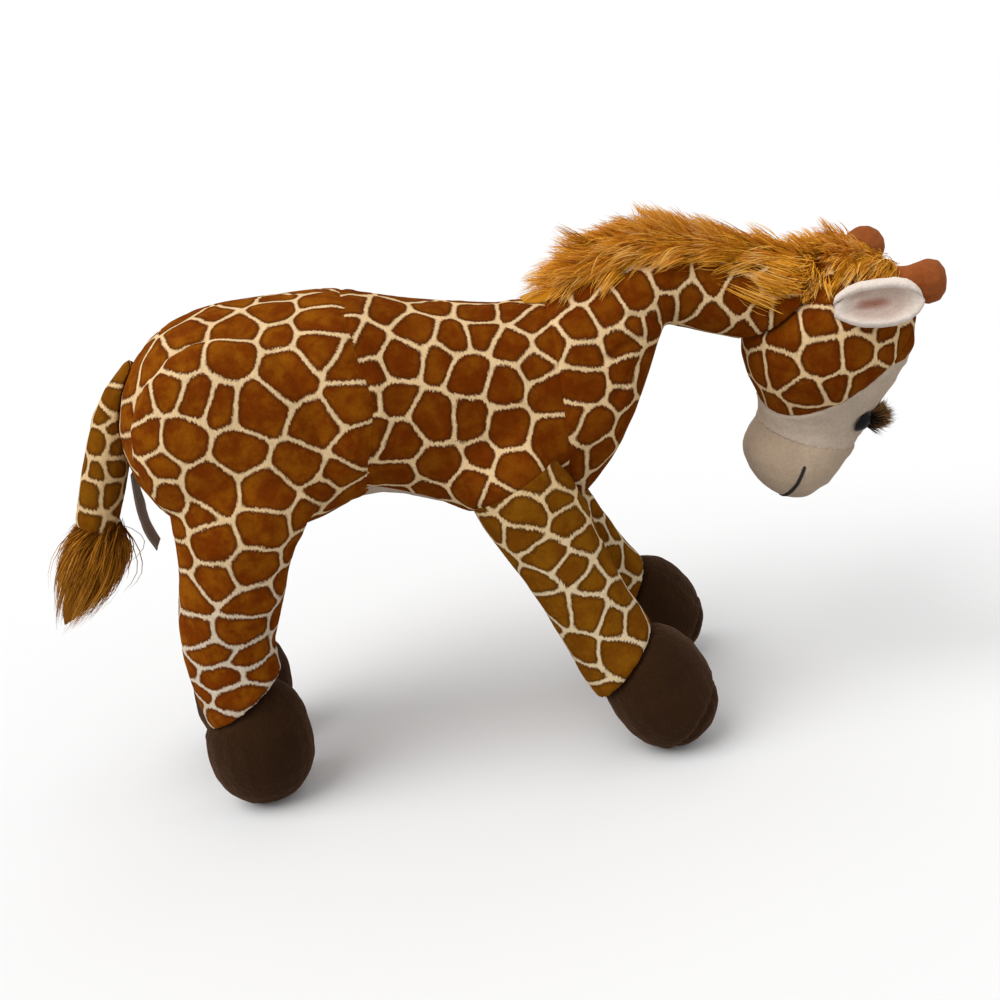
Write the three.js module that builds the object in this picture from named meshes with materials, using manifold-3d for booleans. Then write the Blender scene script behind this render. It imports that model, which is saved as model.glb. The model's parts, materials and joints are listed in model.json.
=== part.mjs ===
// A stuffed plush giraffe that stands on its four hooves, with its neck folded down at the
// crease and its head hanging. Millimetres, +Z up, +X towards the head, +Y to the giraffe's left.
// Until the last step every height is above the floor, and x is measured from the hip axis.
import * as THREE from 'three';
import { mergeVertices } from 'three/addons/utils/BufferGeometryUtils.js';
import Module from 'manifold-3d';

const wasm = await Module();
wasm.setup();

const degrees = THREE.MathUtils.degToRad;
const vec = (x, y, z) => new THREE.Vector3(x, y, z);
const forwardAxis = vec(1, 0, 0);
const leftAxis = vec(0, 1, 0);
const upAxis = vec(0, 0, 1);
const downAxis = vec(0, 0, -1);

// Gaps and cuts
const seamGap = 0.3; // between two pieces sewn or seated together
const hipClearance = 7; // round the rump, for the hind legs' swing
const cutOverrun = 120; // how far a cutting block reaches past what it cuts
const sweepStep = 6; // degrees between two places of a piece that is swept

// Torso, from the rump to the shoulder seam
const hipHeight = 285;
const rumpRadius = 88;
const rumpHalfWidth = 79;
const torsoLength = 228;
const torsoFullness = 2.15; // 2 is an ellipse, more is fuller at the corners
const rumpRings = 6;

// Each row: place along the torso, top, bottom and half width, as shares of torsoLength,
// rumpRadius, rumpRadius and rumpHalfWidth
const shoulderSeamShares = [0.68, -1.12, 0.72];
const torsoShares = [
  [0, 1, -1, 1],
  [0.2, 1, -0.87, 1],
  [0.34, 0.975, -0.74, 0.94],
  [0.47, 0.9, -0.79, 0.82],
  [0.69, 0.76, -1.02, 0.785],
  [0.855, 0.68, -1.1, 0.76],
  [1, ...shoulderSeamShares],
];

// Chest, from the shoulder seam to the crease of the neck, shares as for the torso
const chestLength = 86;
const chestShares = [
  [0, ...shoulderSeamShares],
  [0.14, 0.725, -1.06, 0.72],
  [0.29, 0.78, -0.92, 0.7],
  [0.44, 0.84, -0.74, 0.67],
  [0.58, 0.885, -0.52, 0.62],
  [0.7, 0.92, -0.3, 0.56],
  [0.81, 0.95, -0.06, 0.49],
  [0.91, 0.975, 0.16, 0.43],
  [1, 0.985, 0.32, 0.39],
];

// Belly panel, let into the underside of the torso
const bellyHalfWidth = 27;
const bellyThickness = 5;
const bellyStartShare = 0.3; // of torsoLength
const bellyEndShare = 0.97;

// Neck, from the crease to the head. Each row: place along it, drop of its middle, half height
// and half width, as shares of neckLength, neckRadius, neckRadius and neckRadius
const neckLength = 96;
const neckRadius = 31;
const neckShares = [
  [0, 0, 0.94, 1.08],
  [0.25, -0.2, 0.98, 1.05],
  [0.5, -0.45, 1.02, 1.08],
  [0.75, -0.68, 1.06, 1.16],
  [1, -0.85, 1.12, 1.26],
  [1.3, -1.02, 1.14, 1.3],
];

// Head. Its own frame has its origin in the middle of the skull, +X towards the crown,
// +Y to the left and the nose down. Each row: distance below the skull's middle, crown side,
// throat side and half width, as shares of headLength, skullRadius, skullRadius, skullHalfWidth
const headLength = 192;
const skullRadius = 66;
const skullHalfWidth = 59;
const skullForward = 128; // skull's middle from the middle of the crease
const skullDrop = 50.42;
const headYaw = 12; // degrees, the crown side turned to the left
const headRoll = 12; // degrees, the left side lifted
const headFullness = 2.1;
const headTopShares = [-0.302, -0.08];
const headTipShares = [0.698, -0.42];
const headShares = [
  [-0.29, 0.24, -0.36, 0.32],
  [-0.25, 0.52, -0.6, 0.58],
  [-0.18, 0.82, -0.86, 0.8],
  [-0.09, 0.94, -0.98, 0.95],
  [0.035, 0.95, -1.01, 1.02],
  [0.145, 0.84, -0.97, 0.97],
  [0.25, 0.67, -0.83, 0.82],
  [0.34, 0.55, -0.73, 0.7],
  [0.42, 0.44, -0.81, 0.69],
  [0.49, 0.32, -0.93, 0.72],
  [0.56, 0.16, -0.92, 0.71],
  [0.63, -0.02, -0.82, 0.6],
  [0.675, -0.16, -0.68, 0.42],
];
// Cuts across the head: where each meets the throat side and the crown side, as shares of
// skullRadius sideways and headLength downwards
const neckSeamShares = { throat: [-1.1, 0], crown: [-0.24, -0.29] };
const faceSeamShares = { throat: [-0.85, 0.335], crown: [0.95, -0.11] };
const muzzleSeamShares = { throat: [-0.92, 0.37], crown: [0.2, 0.475] };

// Eyes: a dome with a post through the face, held by a washer behind it
const eyeRadius = 9.5;
const eyeStandOut = 4.5;
const eyeSeat = 0.7; // rim of the dome above the face, which curves away from it
const eyePostRadius = 2.4;
const eyePostLength = 17;
const eyeWasherRadius = 8;
const eyeWasherThickness = 2.4;
const eyeWasherDepth = 10; // from the face's surface to the washer
const eyeDownShare = 0.333; // of headLength
const eyeAngle = 71; // degrees round the head from its crown side

// Lids and lashes
const lidLength = 24;
const lidThickness = 11;
const lidReach = 15;
const lidTurn = 24; // degrees from the eye towards the crown
const lashLength = 13;
const lashThickness = 1.6;
const lashWidth = 16;
const lashTurn = 13; // degrees from the eye towards the crown

// Mouth and nostrils, embroidered on the muzzle
const stitchRadius = 1.3;
const stitchClearance = 0.2; // more than a seam's, for the facets of the muzzle
const mouthCornerShares = [-0.56, 0.49]; // of skullRadius sideways, headLength downwards
const mouthMiddleShares = [-0.6, 0.6];
const mouthFrontShares = [-0.75, 0.652];
const nostrilAngle = 34;
const nostrilDownShare = 0.615;
const nostrilLength = 13;
const nostrilWidth = 6.5;
const nostrilThickness = 2.2;

// Ears
const earLength = 60;
const earHalfWidth = 19;
const earHollow = 10;
const earThickness = 4.6;
const earLiningThickness = 2;
const earRim = 3.2; // outer ear showing round the lining
const earRootShares = [-0.42, 0.84, 0.19]; // of skullRadius, skullHalfWidth, headLength upwards
const earSpread = 36; // degrees from the crown's direction out to the side
const earLifts = { right: 8, left: -28 }; // degrees up
const earTurn = 28; // degrees the hollow is turned down
const earSwingIn = 5; // degrees
const earSwingOut = 35;
const earBackShare = 0.94; // width of the outer ear's hollow side, of its outside
const earLiningTipShare = 0.96; // of earLength
// Each row: place along the ear and half width, as shares of earLength and earHalfWidth
const earShares = [
  [0.05, 0.42],
  [0.16, 0.68],
  [0.32, 0.92],
  [0.5, 1],
  [0.68, 0.95],
  [0.83, 0.74],
  [0.94, 0.4],
];

// Ossicones, the two stuffed horns
const ossiconeLength = 54;
const ossiconeStemRadius = 12.5;
const ossiconeBulbRadius = 16.5;
const ossiconeSpread = 17; // middle of each root from the head's middle plane
const ossiconeBackShares = [0.27, 0.18]; // root, of skullRadius and headLength upwards
const ossiconeLift = 10; // degrees up from the crown's direction
const ossiconeSplay = 35; // degrees out to the side
// Each row: place along the horn, and how much of its radius there is stem and how much bulb
const ossiconeShares = [
  [0, 1.1, 0],
  [0.3, 1, 0],
  [0.5, 0.98, 0],
  [0.62, 0, 0.86],
  [0.76, 0, 1],
  [0.9, 0, 0.88],
  [0.98, 0, 0.5],
];

// Mane and forelock
const maneHeight = 30;
const maneHalfWidth = 27;
// Each row: place along the mane, and its height and half width as shares of its own
const maneShares = [
  [0, 0.3, 0.4],
  [0.12, 0.9, 0.72],
  [0.27, 1.05, 0.95],
  [0.42, 1, 1],
  [0.58, 0.86, 1],
  [0.75, 0.58, 0.98],
  [0.9, 0.32, 0.95],
  [1, 0.14, 0.8],
];
const maneRoot = 12; // how far its skirt hangs below the neck's top line
const maneStartShare = 0.93; // of torsoLength
const forelockShares = { forward: -0.08, up: 0.24 }; // of skullRadius, headLength
const forelockLength = 42;
const forelockHalfWidth = 32;
const forelockHeight = 27;

// Tail
const tailRadius = 16;
const tailDrop = 116;
// Each row: height below the root, distance back and radius, as shares of tailDrop, tailDrop
// and tailRadius
const tailShares = [
  [-0.02, -0.12, 0.86],
  [0.12, 0.05, 0.92],
  [0.28, 0.18, 0.98],
  [0.5, 0.28, 1.04],
  [0.72, 0.37, 1.02],
  [0.88, 0.43, 1],
  [1, 0.48, 0.94],
];
const tailRootShares = [-0.76, 0.6]; // of rumpRadius, from the hip axis
const tailSwing = 60; // degrees
const tuftLength = 76;
const tuftRadius = 28;
const tuftBack = 42; // tip behind the tail's end
// Each row: height below the tail's end, distance back and radius, as shares of tuftLength,
// tuftBack and tuftRadius
const tuftShares = [
  [0.03, 0.04, 0.6],
  [0.18, 0.12, 0.9],
  [0.34, 0.2, 1],
  [0.52, 0.38, 0.89],
  [0.72, 0.62, 0.62],
  [0.9, 0.88, 0.3],
];

// Care label, blank
const labelWidth = 24;
const labelThickness = 1.4;
const labelLength = 60;
const labelRootShare = 0.27; // of rumpRadius below the hip axis
const labelBow = 5;

// Hind legs: a round haunch on the hip axis, and a shank down to the hoof
const haunchRadius = 74;
const haunchInner = 46; // from the middle plane to the haunch's flat inner side
const haunchOuter = 80;
const haunchFullness = 2.4;
const rumpEndShare = 0.08; // of torsoLength, where the rump stops being round
const hindHingeOut = 50; // from the middle plane
const hindFootBack = 29.5; // hoof's middle behind the leg's own straight line
const hindSoleOffset = 45.5; // hoof's middle to the sole's seam
const legDepth = 70;
const legWidth = 64;

// Front legs
const frontHingeForward = 180; // from the hip axis
const frontHingeDrop = 45; // below the hip axis
const frontHingeOut = 43;
const frontFootForward = 10; // hoof's middle before the leg's own straight line
const frontSoleOffset = 33;

// Both pairs of legs hang straight down from their hinge in their own frame, and are then
// swung forward and splayed outward. Each row: distance down, middle forward, half depth and
// half width, as shares of the reach to the hoof, legDepth, legDepth and legWidth
const hindLeg = {
  pivot: { forward: 0, up: hipHeight, out: hindHingeOut },
  swings: { right: 0, left: -5 }, // degrees forward as it stands
  splays: { right: -1.5, left: 0 }, // degrees outward
  footForward: -hindFootBack,
  cuffTilt: 31, // degrees the cuff rises towards the toe, from square to the leg
  soleTilt: 0, // degrees the sole turns towards the toe
  soleOffset: hindSoleOffset,
  shares: [
    [0.1, 0, 0.86, 0.46],
    [0.19, -0.01, 0.82, 0.53],
    [0.3, -0.17, 0.67, 0.55],
    [0.37, -0.27, 0.6, 0.53],
    [0.44, -0.34, 0.57, 0.515],
    [0.515, -0.41, 0.55, 0.5],
    [0.62, -0.51, 0.5, 0.485],
    [0.71, -0.53, 0.48, 0.475],
    [0.79, -0.49, 0.49, 0.485],
    [0.885, -0.44, 0.49, 0.485],
    [1, -0.43, 0.47, 0.47],
  ],
};
const frontLeg = {
  pivot: { forward: frontHingeForward, up: hipHeight - frontHingeDrop, out: frontHingeOut },
  swings: { right: 24, left: 30 }, // degrees forward as it stands
  splays: { right: 5, left: 8.5 }, // degrees outward
  footForward: frontFootForward,
  cuffTilt: 24,
  soleTilt: 27,
  soleOffset: frontSoleOffset,
  shares: [
    [-0.1, 0.04, 0.2, 0.2],
    [-0.07, 0.04, 0.34, 0.34],
    [0, 0.02, 0.5, 0.47],
    [0.13, 0.01, 0.555, 0.52],
    [0.27, 0, 0.52, 0.5],
    [0.42, -0.02, 0.465, 0.47],
    [0.56, -0.03, 0.45, 0.455],
    [0.7, -0.03, 0.455, 0.46],
    [0.84, -0.03, 0.475, 0.485],
    [0.98, -0.02, 0.46, 0.48],
  ],
};

const frontSwing = 18; // degrees either way from where they stand
const hindSwing = 20;

// Hooves, ovals cut off at the cuff, the sole and the floor
const hoofHalfDepth = 40.5;
const hoofHalfWidth = 37;
const hoofHalfHeight = 50;
const hoofFullness = 2.3;
const floorFlat = 0.5; // how deep the floor flattens each hoof
const cuffOffset = 34.5; // hoof's middle to the cuff

// Facets
const torsoSides = 24;
const torsoSteps = 12;
const chestSteps = 9;
const neckSteps = 6;
const headSides = 24;
const headSteps = 18;
const haunchSteps = 5;
const legSides = 16;
const legSteps = 11;
const hoofSides = 18;
const hoofRings = 10;
const maneSteps = 11;
const tailSteps = 8;
const tuftSteps = 6;
const earSteps = 6;
const labelSteps = 7;
const mouthHalfSteps = 11;
const eyeSteps = 5;
const stitchSides = 6;
const softSides = 12;
const smallSides = 8;

const curvePower = (value, fullness) => Math.sign(value) * Math.abs(value) ** (2 / fullness);

// A closed ring of points: half `wide` along `side`, half `tall` along `up`
function ring(middle, side, up, wide, tall, count, fullness = 2) {
  const points = [];
  for (let i = 0; i < count; i += 1) {
    const angle = (i / count) * Math.PI * 2;
    const across = curvePower(Math.cos(angle), fullness) * wide;
    const along = curvePower(Math.sin(angle), fullness) * tall;
    points.push(middle.clone().addScaledVector(side, across).addScaledVector(up, along));
  }
  return points;
}

const middleOf = (points) => {
  const sum = points.reduce((total, point) => total.add(point), vec(0, 0, 0));
  return sum.divideScalar(points.length);
};

// The closed skin over a row of rings, ending in a point, or flat where none is given
function skin(rings, firstPoint, lastPoint) {
  const count = rings[0].length;
  const first = firstPoint ?? middleOf(rings[0]);
  const last = lastPoint ?? middleOf(rings[rings.length - 1]);
  const positions = [...rings.flat(), first, last].flatMap((point) => point.toArray());
  const firstIndex = rings.length * count;
  const lastIndex = firstIndex + 1;
  const endRow = (rings.length - 1) * count;
  const index = [];
  for (let i = 0; i < count; i += 1) {
    const next = (i + 1) % count;
    index.push(firstIndex, next, i, lastIndex, endRow + i, endRow + next);
    for (let row = 0; row < endRow; row += count) {
      index.push(row + i, row + next, row + count + next);
      index.push(row + i, row + count + next, row + count + i);
    }
  }
  const geometry = new THREE.BufferGeometry();
  geometry.setAttribute('position', new THREE.Float32BufferAttribute(positions, 3));
  geometry.setIndex(index);
  return facingOut(geometry);
}

function signedVolume(geometry) {
  const corner = (i) => vec().fromBufferAttribute(geometry.attributes.position, geometry.index.getX(i));
  let volume = 0;
  for (let i = 0; i < geometry.index.count; i += 3) {
    volume += corner(i).dot(corner(i + 1).cross(corner(i + 2)));
  }
  return volume;
}

function facingOut(geometry) {
  if (signedVolume(geometry) < 0) {
    const old = geometry.index.array;
    const turned = [];
    for (let i = 0; i < old.length; i += 3) turned.push(old[i], old[i + 2], old[i + 1]);
    geometry.setIndex(turned);
  }
  return geometry;
}

// Smooth rows between the rows of a table
function smoothRows(rows, steps) {
  const part = (from) =>
    new THREE.CatmullRomCurve3(
      rows.map((row) => vec(row[from] ?? 0, row[from + 1] ?? 0, row[from + 2] ?? 0)),
      false,
      'catmullrom',
    );
  const curves = [part(0), part(3)];
  return Array.from({ length: steps + 1 }, (_, i) =>
    curves.flatMap((curve) => curve.getPoint(i / steps).toArray()),
  );
}

function solid(geometry) {
  const bare = geometry.clone();
  for (const name of Object.keys(bare.attributes)) {
    if (name !== 'position') bare.deleteAttribute(name);
  }
  const merged = facingOut(mergeVertices(bare));
  return new wasm.Manifold(
    new wasm.Mesh({
      numProp: 3,
      vertProperties: new Float32Array(merged.attributes.position.array),
      triVerts: new Uint32Array(merged.index.array),
    }),
  );
}

function geometryOf(body) {
  const mesh = body.getMesh();
  const geometry = new THREE.BufferGeometry();
  geometry.setAttribute('position', new THREE.Float32BufferAttribute(mesh.vertProperties, 3));
  geometry.setIndex([...mesh.triVerts]);
  return geometry;
}

const moved = (geometry, matrix) => geometry.clone().applyMatrix4(matrix);
const cut = (body, ...cutters) => cutters.reduce((left, cutter) => left.subtract(cutter), body);
const scaledAbout = (centre, factor) =>
  new THREE.Matrix4()
    .makeTranslation(centre)
    .multiply(new THREE.Matrix4().makeScale(factor, factor, factor))
    .multiply(new THREE.Matrix4().makeTranslation(centre.clone().negate()));
const turnedAbout = (centre, axis, angle) =>
  new THREE.Matrix4()
    .makeTranslation(centre)
    .multiply(new THREE.Matrix4().makeRotationAxis(axis, degrees(angle)))
    .multiply(new THREE.Matrix4().makeTranslation(centre.clone().negate()));

// The block on the side of a plane that `normal` points to
function block(point, normal) {
  const side = cutOverrun * 4;
  const box = new THREE.BoxGeometry(side, side, side).translate(0, 0, side / 2);
  const turn = new THREE.Quaternion().setFromUnitVectors(vec(0, 0, 1), normal.clone().normalize());
  return solid(box.applyQuaternion(turn).translate(...point.toArray()));
}

// Everything that larger pieces sweep, seen from a limb that turns about `pivot` from `from` to
// `to` degrees
function swept(geometries, pivot, axis, from, to) {
  const steps = Math.max(1, Math.round((to - from) / sweepStep));
  let all;
  for (let i = 0; i <= steps; i += 1) {
    const turn = turnedAbout(pivot, axis, -(from + ((to - from) * i) / steps));
    for (const geometry of geometries) {
      const copy = solid(moved(geometry, turn));
      all = all ? all.add(copy) : copy;
    }
  }
  return all;
}

const toy = new THREE.Group();
const cover = { color: 0x8a3f12, roughness: 0.95, metalness: 0 };
const cream = { color: 0xe9d3bb, roughness: 0.95, metalness: 0 };
const hoofPlush = { color: 0x3b221a, roughness: 0.95, metalness: 0 };
const fur = { color: 0xb87a2c, roughness: 1, metalness: 0 };
const horn = { color: 0xb9653a, roughness: 0.95, metalness: 0 };
const thread = { color: 0x1a1412, roughness: 0.7, metalness: 0 };
const glossy = { color: 0x0d0b0a, roughness: 0.12, metalness: 0 };
const plastic = { color: 0xd9d5cc, roughness: 0.5, metalness: 0 };
const ribbon = { color: 0x8d8276, roughness: 0.6, metalness: 0 };
const nostrilThread = { color: 0x8f6a5c, roughness: 0.8, metalness: 0 };
const lidFur = { color: 0x5c3a20, roughness: 1, metalness: 0 };

function place(name, shape, finish, parent = toy) {
  const geometry = shape.isBufferGeometry ? shape : geometryOf(shape);
  const mesh = new THREE.Mesh(geometry, new THREE.MeshStandardMaterial(finish));
  mesh.name = name;
  parent.add(mesh);
}

// Torso and chest, upright rings along the back line
const upright = (x, top, bottom, halfWidth, grow = 0) =>
  ring(
    vec(x, 0, hipHeight + (top + bottom) / 2),
    leftAxis,
    upAxis,
    halfWidth + grow,
    (top - bottom) / 2 + grow,
    torsoSides,
    torsoFullness,
  );

function sizedRows(shares, start, length, steps) {
  return smoothRows(shares, steps).map(([along, top, bottom, halfWidth]) => [
    start + along * length,
    top * rumpRadius,
    bottom * rumpRadius,
    halfWidth * rumpHalfWidth,
  ]);
}

const torsoRows = sizedRows(torsoShares, 0, torsoLength, torsoSteps);
const chestRows = sizedRows(chestShares, torsoLength, chestLength, chestSteps);

function torsoSkin(grow = 0) {
  const rump = [];
  for (let i = rumpRings; i > 0; i -= 1) {
    const angle = (i / (rumpRings + 1)) * (Math.PI / 2);
    const high = Math.cos(angle) * rumpRadius;
    const wide = Math.cos(angle) * rumpHalfWidth;
    rump.push(upright(-Math.sin(angle) * rumpRadius, high, -high, wide, grow));
  }
  const rest = torsoRows.map((row) => upright(...row, grow));
  return skin([...rump, ...rest], vec(-rumpRadius - grow, 0, hipHeight));
}

function chestSkin(grow = 0) {
  const rows = chestRows.map((row) => [...row]);
  rows[0][0] += seamGap - grow * 2; // grown, it reaches into the torso
  return skin(rows.map((row) => upright(...row, grow)));
}

const creaseX = torsoLength + chestLength;
const [, creaseTop, creaseBottom] = chestRows[chestRows.length - 1];
const creaseMiddle = hipHeight + (creaseTop + creaseBottom) / 2;

// A pocket in each hip that a haunch turns in
const torsoWhole = torsoSkin();
const hipPockets = (gap) =>
  [-1, 1].map((side) => {
    const radius = haunchRadius + gap;
    const pocket = new THREE.CylinderGeometry(radius, radius, cutOverrun, torsoSides * 2);
    return solid(pocket.translate(0, side * (haunchInner + cutOverrun / 2), hipHeight));
  });

// The belly panel is a thin strip of the torso's own underside
const bellyStart = bellyStartShare * torsoLength;
const bellyEnd = bellyEndShare * torsoLength;
function bellyBlock(gap) {
  const box = new THREE.BoxGeometry(
    bellyEnd - bellyStart + gap * 2,
    (bellyHalfWidth + gap) * 2,
    hipHeight,
  );
  box.translate((bellyStart + bellyEnd) / 2, 0, hipHeight / 2);
  return solid(box);
}
const torsoCore = solid(torsoSkin(-bellyThickness));
const torsoDeeper = solid(torsoSkin(-bellyThickness - seamGap));
const bellyPanel = solid(torsoWhole).intersect(bellyBlock(0)).subtract(torsoCore);
const bellyRecess = bellyBlock(seamGap).subtract(torsoDeeper);
place('torso', cut(solid(torsoWhole), ...hipPockets(seamGap), bellyRecess), cover);
place('belly_panel', bellyPanel, cream);
place('chest', chestSkin(), cover);

// Neck
const neckRows = smoothRows(neckShares, neckSteps);
const neckRing = ([along, drop, tall, wide], grow) =>
  ring(
    vec(creaseX + seamGap + along * neckLength, 0, creaseMiddle + drop * neckRadius),
    leftAxis,
    upAxis,
    wide * neckRadius + grow,
    tall * neckRadius + grow,
    torsoSides,
    torsoFullness,
  );
const neckSkin = (grow = 0) => skin(neckRows.map((row) => neckRing(row, grow)));

// Head, in a group of its own
const headGroup = new THREE.Group();
headGroup.position.set(creaseX + skullForward, 0, creaseMiddle - skullDrop);
headGroup.rotation.set(degrees(headRoll), 0, degrees(headYaw), 'ZYX');
headGroup.updateMatrixWorld();
toy.add(headGroup);

const headRows = smoothRows(headShares, headSteps).map(([down, crown, throat, halfWidth]) => ({
  down: down * headLength,
  middle: ((crown + throat) / 2) * skullRadius,
  half: ((crown - throat) / 2) * skullRadius,
  wide: halfWidth * skullHalfWidth,
}));
const headRing = (row, grow) =>
  ring(
    vec(row.middle, 0, -row.down),
    forwardAxis,
    leftAxis,
    row.half + grow,
    row.wide + grow,
    headSides,
    headFullness,
  );
const headPole = ([down, side], grow) => vec(side * skullRadius, 0, -down * headLength + grow);
const headSkin = (grow = 0) =>
  skin(
    headRows.map((row) => headRing(row, grow)),
    headPole(headTopShares, grow),
    headPole(headTipShares, -grow),
  );

// The head's section at a depth below the skull's middle
function headRowAt(down) {
  const after = Math.max(1, headRows.findIndex((row) => row.down >= down));
  const [low, high] = [headRows[after - 1], headRows[after]];
  const share = (down - low.down) / (high.down - low.down);
  const mix = (key) => low[key] + (high[key] - low[key]) * share;
  return { middle: mix('middle'), half: mix('half'), wide: mix('wide') };
}

// The direction that the head's surface faces at a point of it
function headNormal(at) {
  const level = (point) => {
    const { middle, half, wide } = headRowAt(-point.z);
    const across = Math.abs((point.x - middle) / half) ** headFullness;
    return across + Math.abs(point.y / wide) ** headFullness;
  };
  const slope = (axis) =>
    level(at.clone().addScaledVector(axis, seamGap)) -
    level(at.clone().addScaledVector(axis, -seamGap));
  return vec(slope(forwardAxis), slope(leftAxis), slope(upAxis)).normalize();
}

// The point of the head's surface at a depth and an angle round it, and what faces out there
function onHead(down, angle) {
  const { middle, half, wide } = headRowAt(down);
  const turn = degrees(angle);
  const at = vec(
    middle + curvePower(Math.cos(turn), headFullness) * half,
    curvePower(Math.sin(turn), headFullness) * wide,
    -down,
  );
  const out = headNormal(at);
  const across = out.clone().cross(upAxis).normalize();
  const basis = new THREE.Matrix4().makeBasis(across, out, across.clone().cross(out));
  return { at, turn: new THREE.Quaternion().setFromRotationMatrix(basis) };
}
// A shape made round +Y with +Z up, turned to stand out of the head
const standing = (geometry, { at, turn }) =>
  geometry.applyQuaternion(turn).translate(...at.toArray());

const headPlanePoint = ([side, down]) => vec(side * skullRadius, 0, -down * headLength);
// The block on the nose side of a seam
function beyondSeam(seam, shift) {
  const throat = headPlanePoint(seam.throat);
  const run = headPlanePoint(seam.crown).sub(throat);
  const normal = vec(run.z, 0, -run.x).normalize();
  return block(throat.addScaledVector(normal, shift), normal);
}
const outOfHead = (body) => solid(moved(geometryOf(body), headGroup.matrixWorld));
const beyondNeck = outOfHead(beyondSeam(neckSeamShares, 0));
const headSide = beyondSeam(neckSeamShares, seamGap);
const neckSeamCrown = headPlanePoint(neckSeamShares.crown).applyMatrix4(headGroup.matrixWorld);

const neck = cut(solid(neckSkin()), beyondNeck);
place('neck', neck, cover);

const headWhole = solid(headSkin()).intersect(headSide);
const faceOn = beyondSeam(faceSeamShares, 0);
const faceOnGap = beyondSeam(faceSeamShares, seamGap);
const muzzleOn = beyondSeam(muzzleSeamShares, 0);
const muzzleOnGap = beyondSeam(muzzleSeamShares, seamGap);

const eyeDown = eyeDownShare * headLength;
const sideName = (side) => (side < 0 ? 'right' : 'left');
const lathed = (profile, sides) => {
  const points = profile.map(([radius, along]) => new THREE.Vector2(radius, along));
  return facingOut(new THREE.LatheGeometry(points, sides));
};
// A hole through the face for the eye's post, and a pocket for its washer
function eyeBore(eye) {
  const bore = eyePostRadius + seamGap;
  const pocket = eyeWasherRadius + seamGap;
  const pocketTop = -eyeWasherDepth + seamGap;
  const pocketEnd = -eyeWasherDepth - eyeWasherThickness - seamGap;
  const profile = [
    [0, eyeStandOut],
    [bore, eyeStandOut],
    [bore, pocketTop],
    [pocket, pocketTop],
    [pocket, pocketEnd],
    [bore, pocketEnd],
    [bore, -eyePostLength - seamGap],
    [0, -eyePostLength - seamGap],
  ];
  return solid(standing(lathed(profile, softSides), eye));
}
const eyes = [-1, 1].map((side) => ({ side, ...onHead(eyeDown, side * eyeAngle) }));
const eyeBores = eyes.map(eyeBore);

place('head', cut(headWhole, faceOn, ...eyeBores), cover, headGroup);
place('face', cut(headWhole.intersect(faceOnGap), muzzleOn, ...eyeBores), cream, headGroup);
place('muzzle', headWhole.intersect(muzzleOnGap), cream, headGroup);

const headGrown = solid(headSkin(seamGap));
// The ball that an eye's dome is a cap of, and how far its middle lies behind the face
const eyeBallRadius = (eyeRadius ** 2 + eyeStandOut ** 2) / (eyeStandOut * 2);
const eyeBallDepth = eyeBallRadius - eyeStandOut;
for (const eye of eyes) {
  const name = sideName(eye.side);
  const rimAngle = Math.asin(eyeRadius / eyeBallRadius);
  const dome = Array.from({ length: eyeSteps }, (_, i) => {
    const angle = (i / (eyeSteps - 1)) * rimAngle;
    return [Math.sin(angle) * eyeBallRadius, Math.cos(angle) * eyeBallRadius - eyeBallDepth + eyeSeat];
  });
  dome[0][0] = 0;
  const post = [
    [eyePostRadius, eyeSeat],
    [eyePostRadius, -eyePostLength],
    [0, -eyePostLength],
  ];
  place(`eye_${name}`, standing(lathed([...dome, ...post], softSides), eye), glossy, headGroup);

  const inner = eyePostRadius + seamGap;
  const washer = [
    [inner, 0],
    [eyeWasherRadius, 0],
    [eyeWasherRadius, -eyeWasherThickness],
    [inner, -eyeWasherThickness],
    [inner, 0],
  ].map(([radius, along]) => [radius, along - eyeWasherDepth]);
  place(`eye_washer_${name}`, standing(lathed(washer, softSides), eye), plastic, headGroup);

  // The lid sits on the crown side of the eye and leans out over it
  const lidPlace = onHead(eyeDown, eye.side * (eyeAngle - lidTurn));
  const lid = new THREE.SphereGeometry(1, softSides, smallSides);
  lid.scale(lidThickness / 2, lidReach, lidLength / 2);
  standing(lid, lidPlace);
  const ball = new THREE.SphereGeometry(eyeBallRadius + eyeSeat + seamGap, softSides, softSides);
  const eyeClear = solid(standing(ball.translate(0, -eyeBallDepth, 0), eye));
  place(`eyelid_${name}`, cut(solid(lid), headGrown, eyeClear), lidFur, headGroup);

  // The lashes hang from the lid's edge beside the eye
  const lashPlace = onHead(eyeDown, eye.side * (eyeAngle - lashTurn));
  const lash = new THREE.BoxGeometry(lashThickness, lashLength, lashWidth);
  lash.translate(0, lashLength / 2, 0);
  lash.applyQuaternion(eye.turn).translate(...lashPlace.at.toArray());
  const lidGrown = solid(moved(lid, scaledAbout(lidPlace.at, 1 + (seamGap * 2) / lidThickness)));
  place(`eyelashes_${name}`, cut(solid(lash), headGrown, eyeClear, lidGrown), thread, headGroup);
}

// Mouth: a cord of thread round the chin, from corner to corner, drawn in the side view
const inSideView = ([side, down]) => new THREE.Vector2(side * skullRadius, down * headLength);
const mouthLine = new THREE.QuadraticBezierCurve(
  inSideView(mouthFrontShares),
  inSideView(mouthMiddleShares),
  inSideView(mouthCornerShares),
);
const mouthPoints = Array.from({ length: 2 * mouthHalfSteps + 1 }, (_, i) => {
  const share = i / mouthHalfSteps - 1;
  const { x, y } = mouthLine.getPoint(share ** 2);
  const row = headRowAt(y);
  const across = Math.min(1, Math.abs((x - row.middle) / row.half));
  const out = row.wide * (1 - across ** headFullness) ** (1 / headFullness);
  const point = vec(x, Math.sign(share) * out, -y);
  return point.addScaledVector(headNormal(point), stitchRadius + seamGap + stitchClearance);
});
const stitchSection = new THREE.Shape(
  new THREE.EllipseCurve(0, 0, stitchRadius, stitchRadius).getPoints(stitchSides).slice(0, -1),
);
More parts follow.
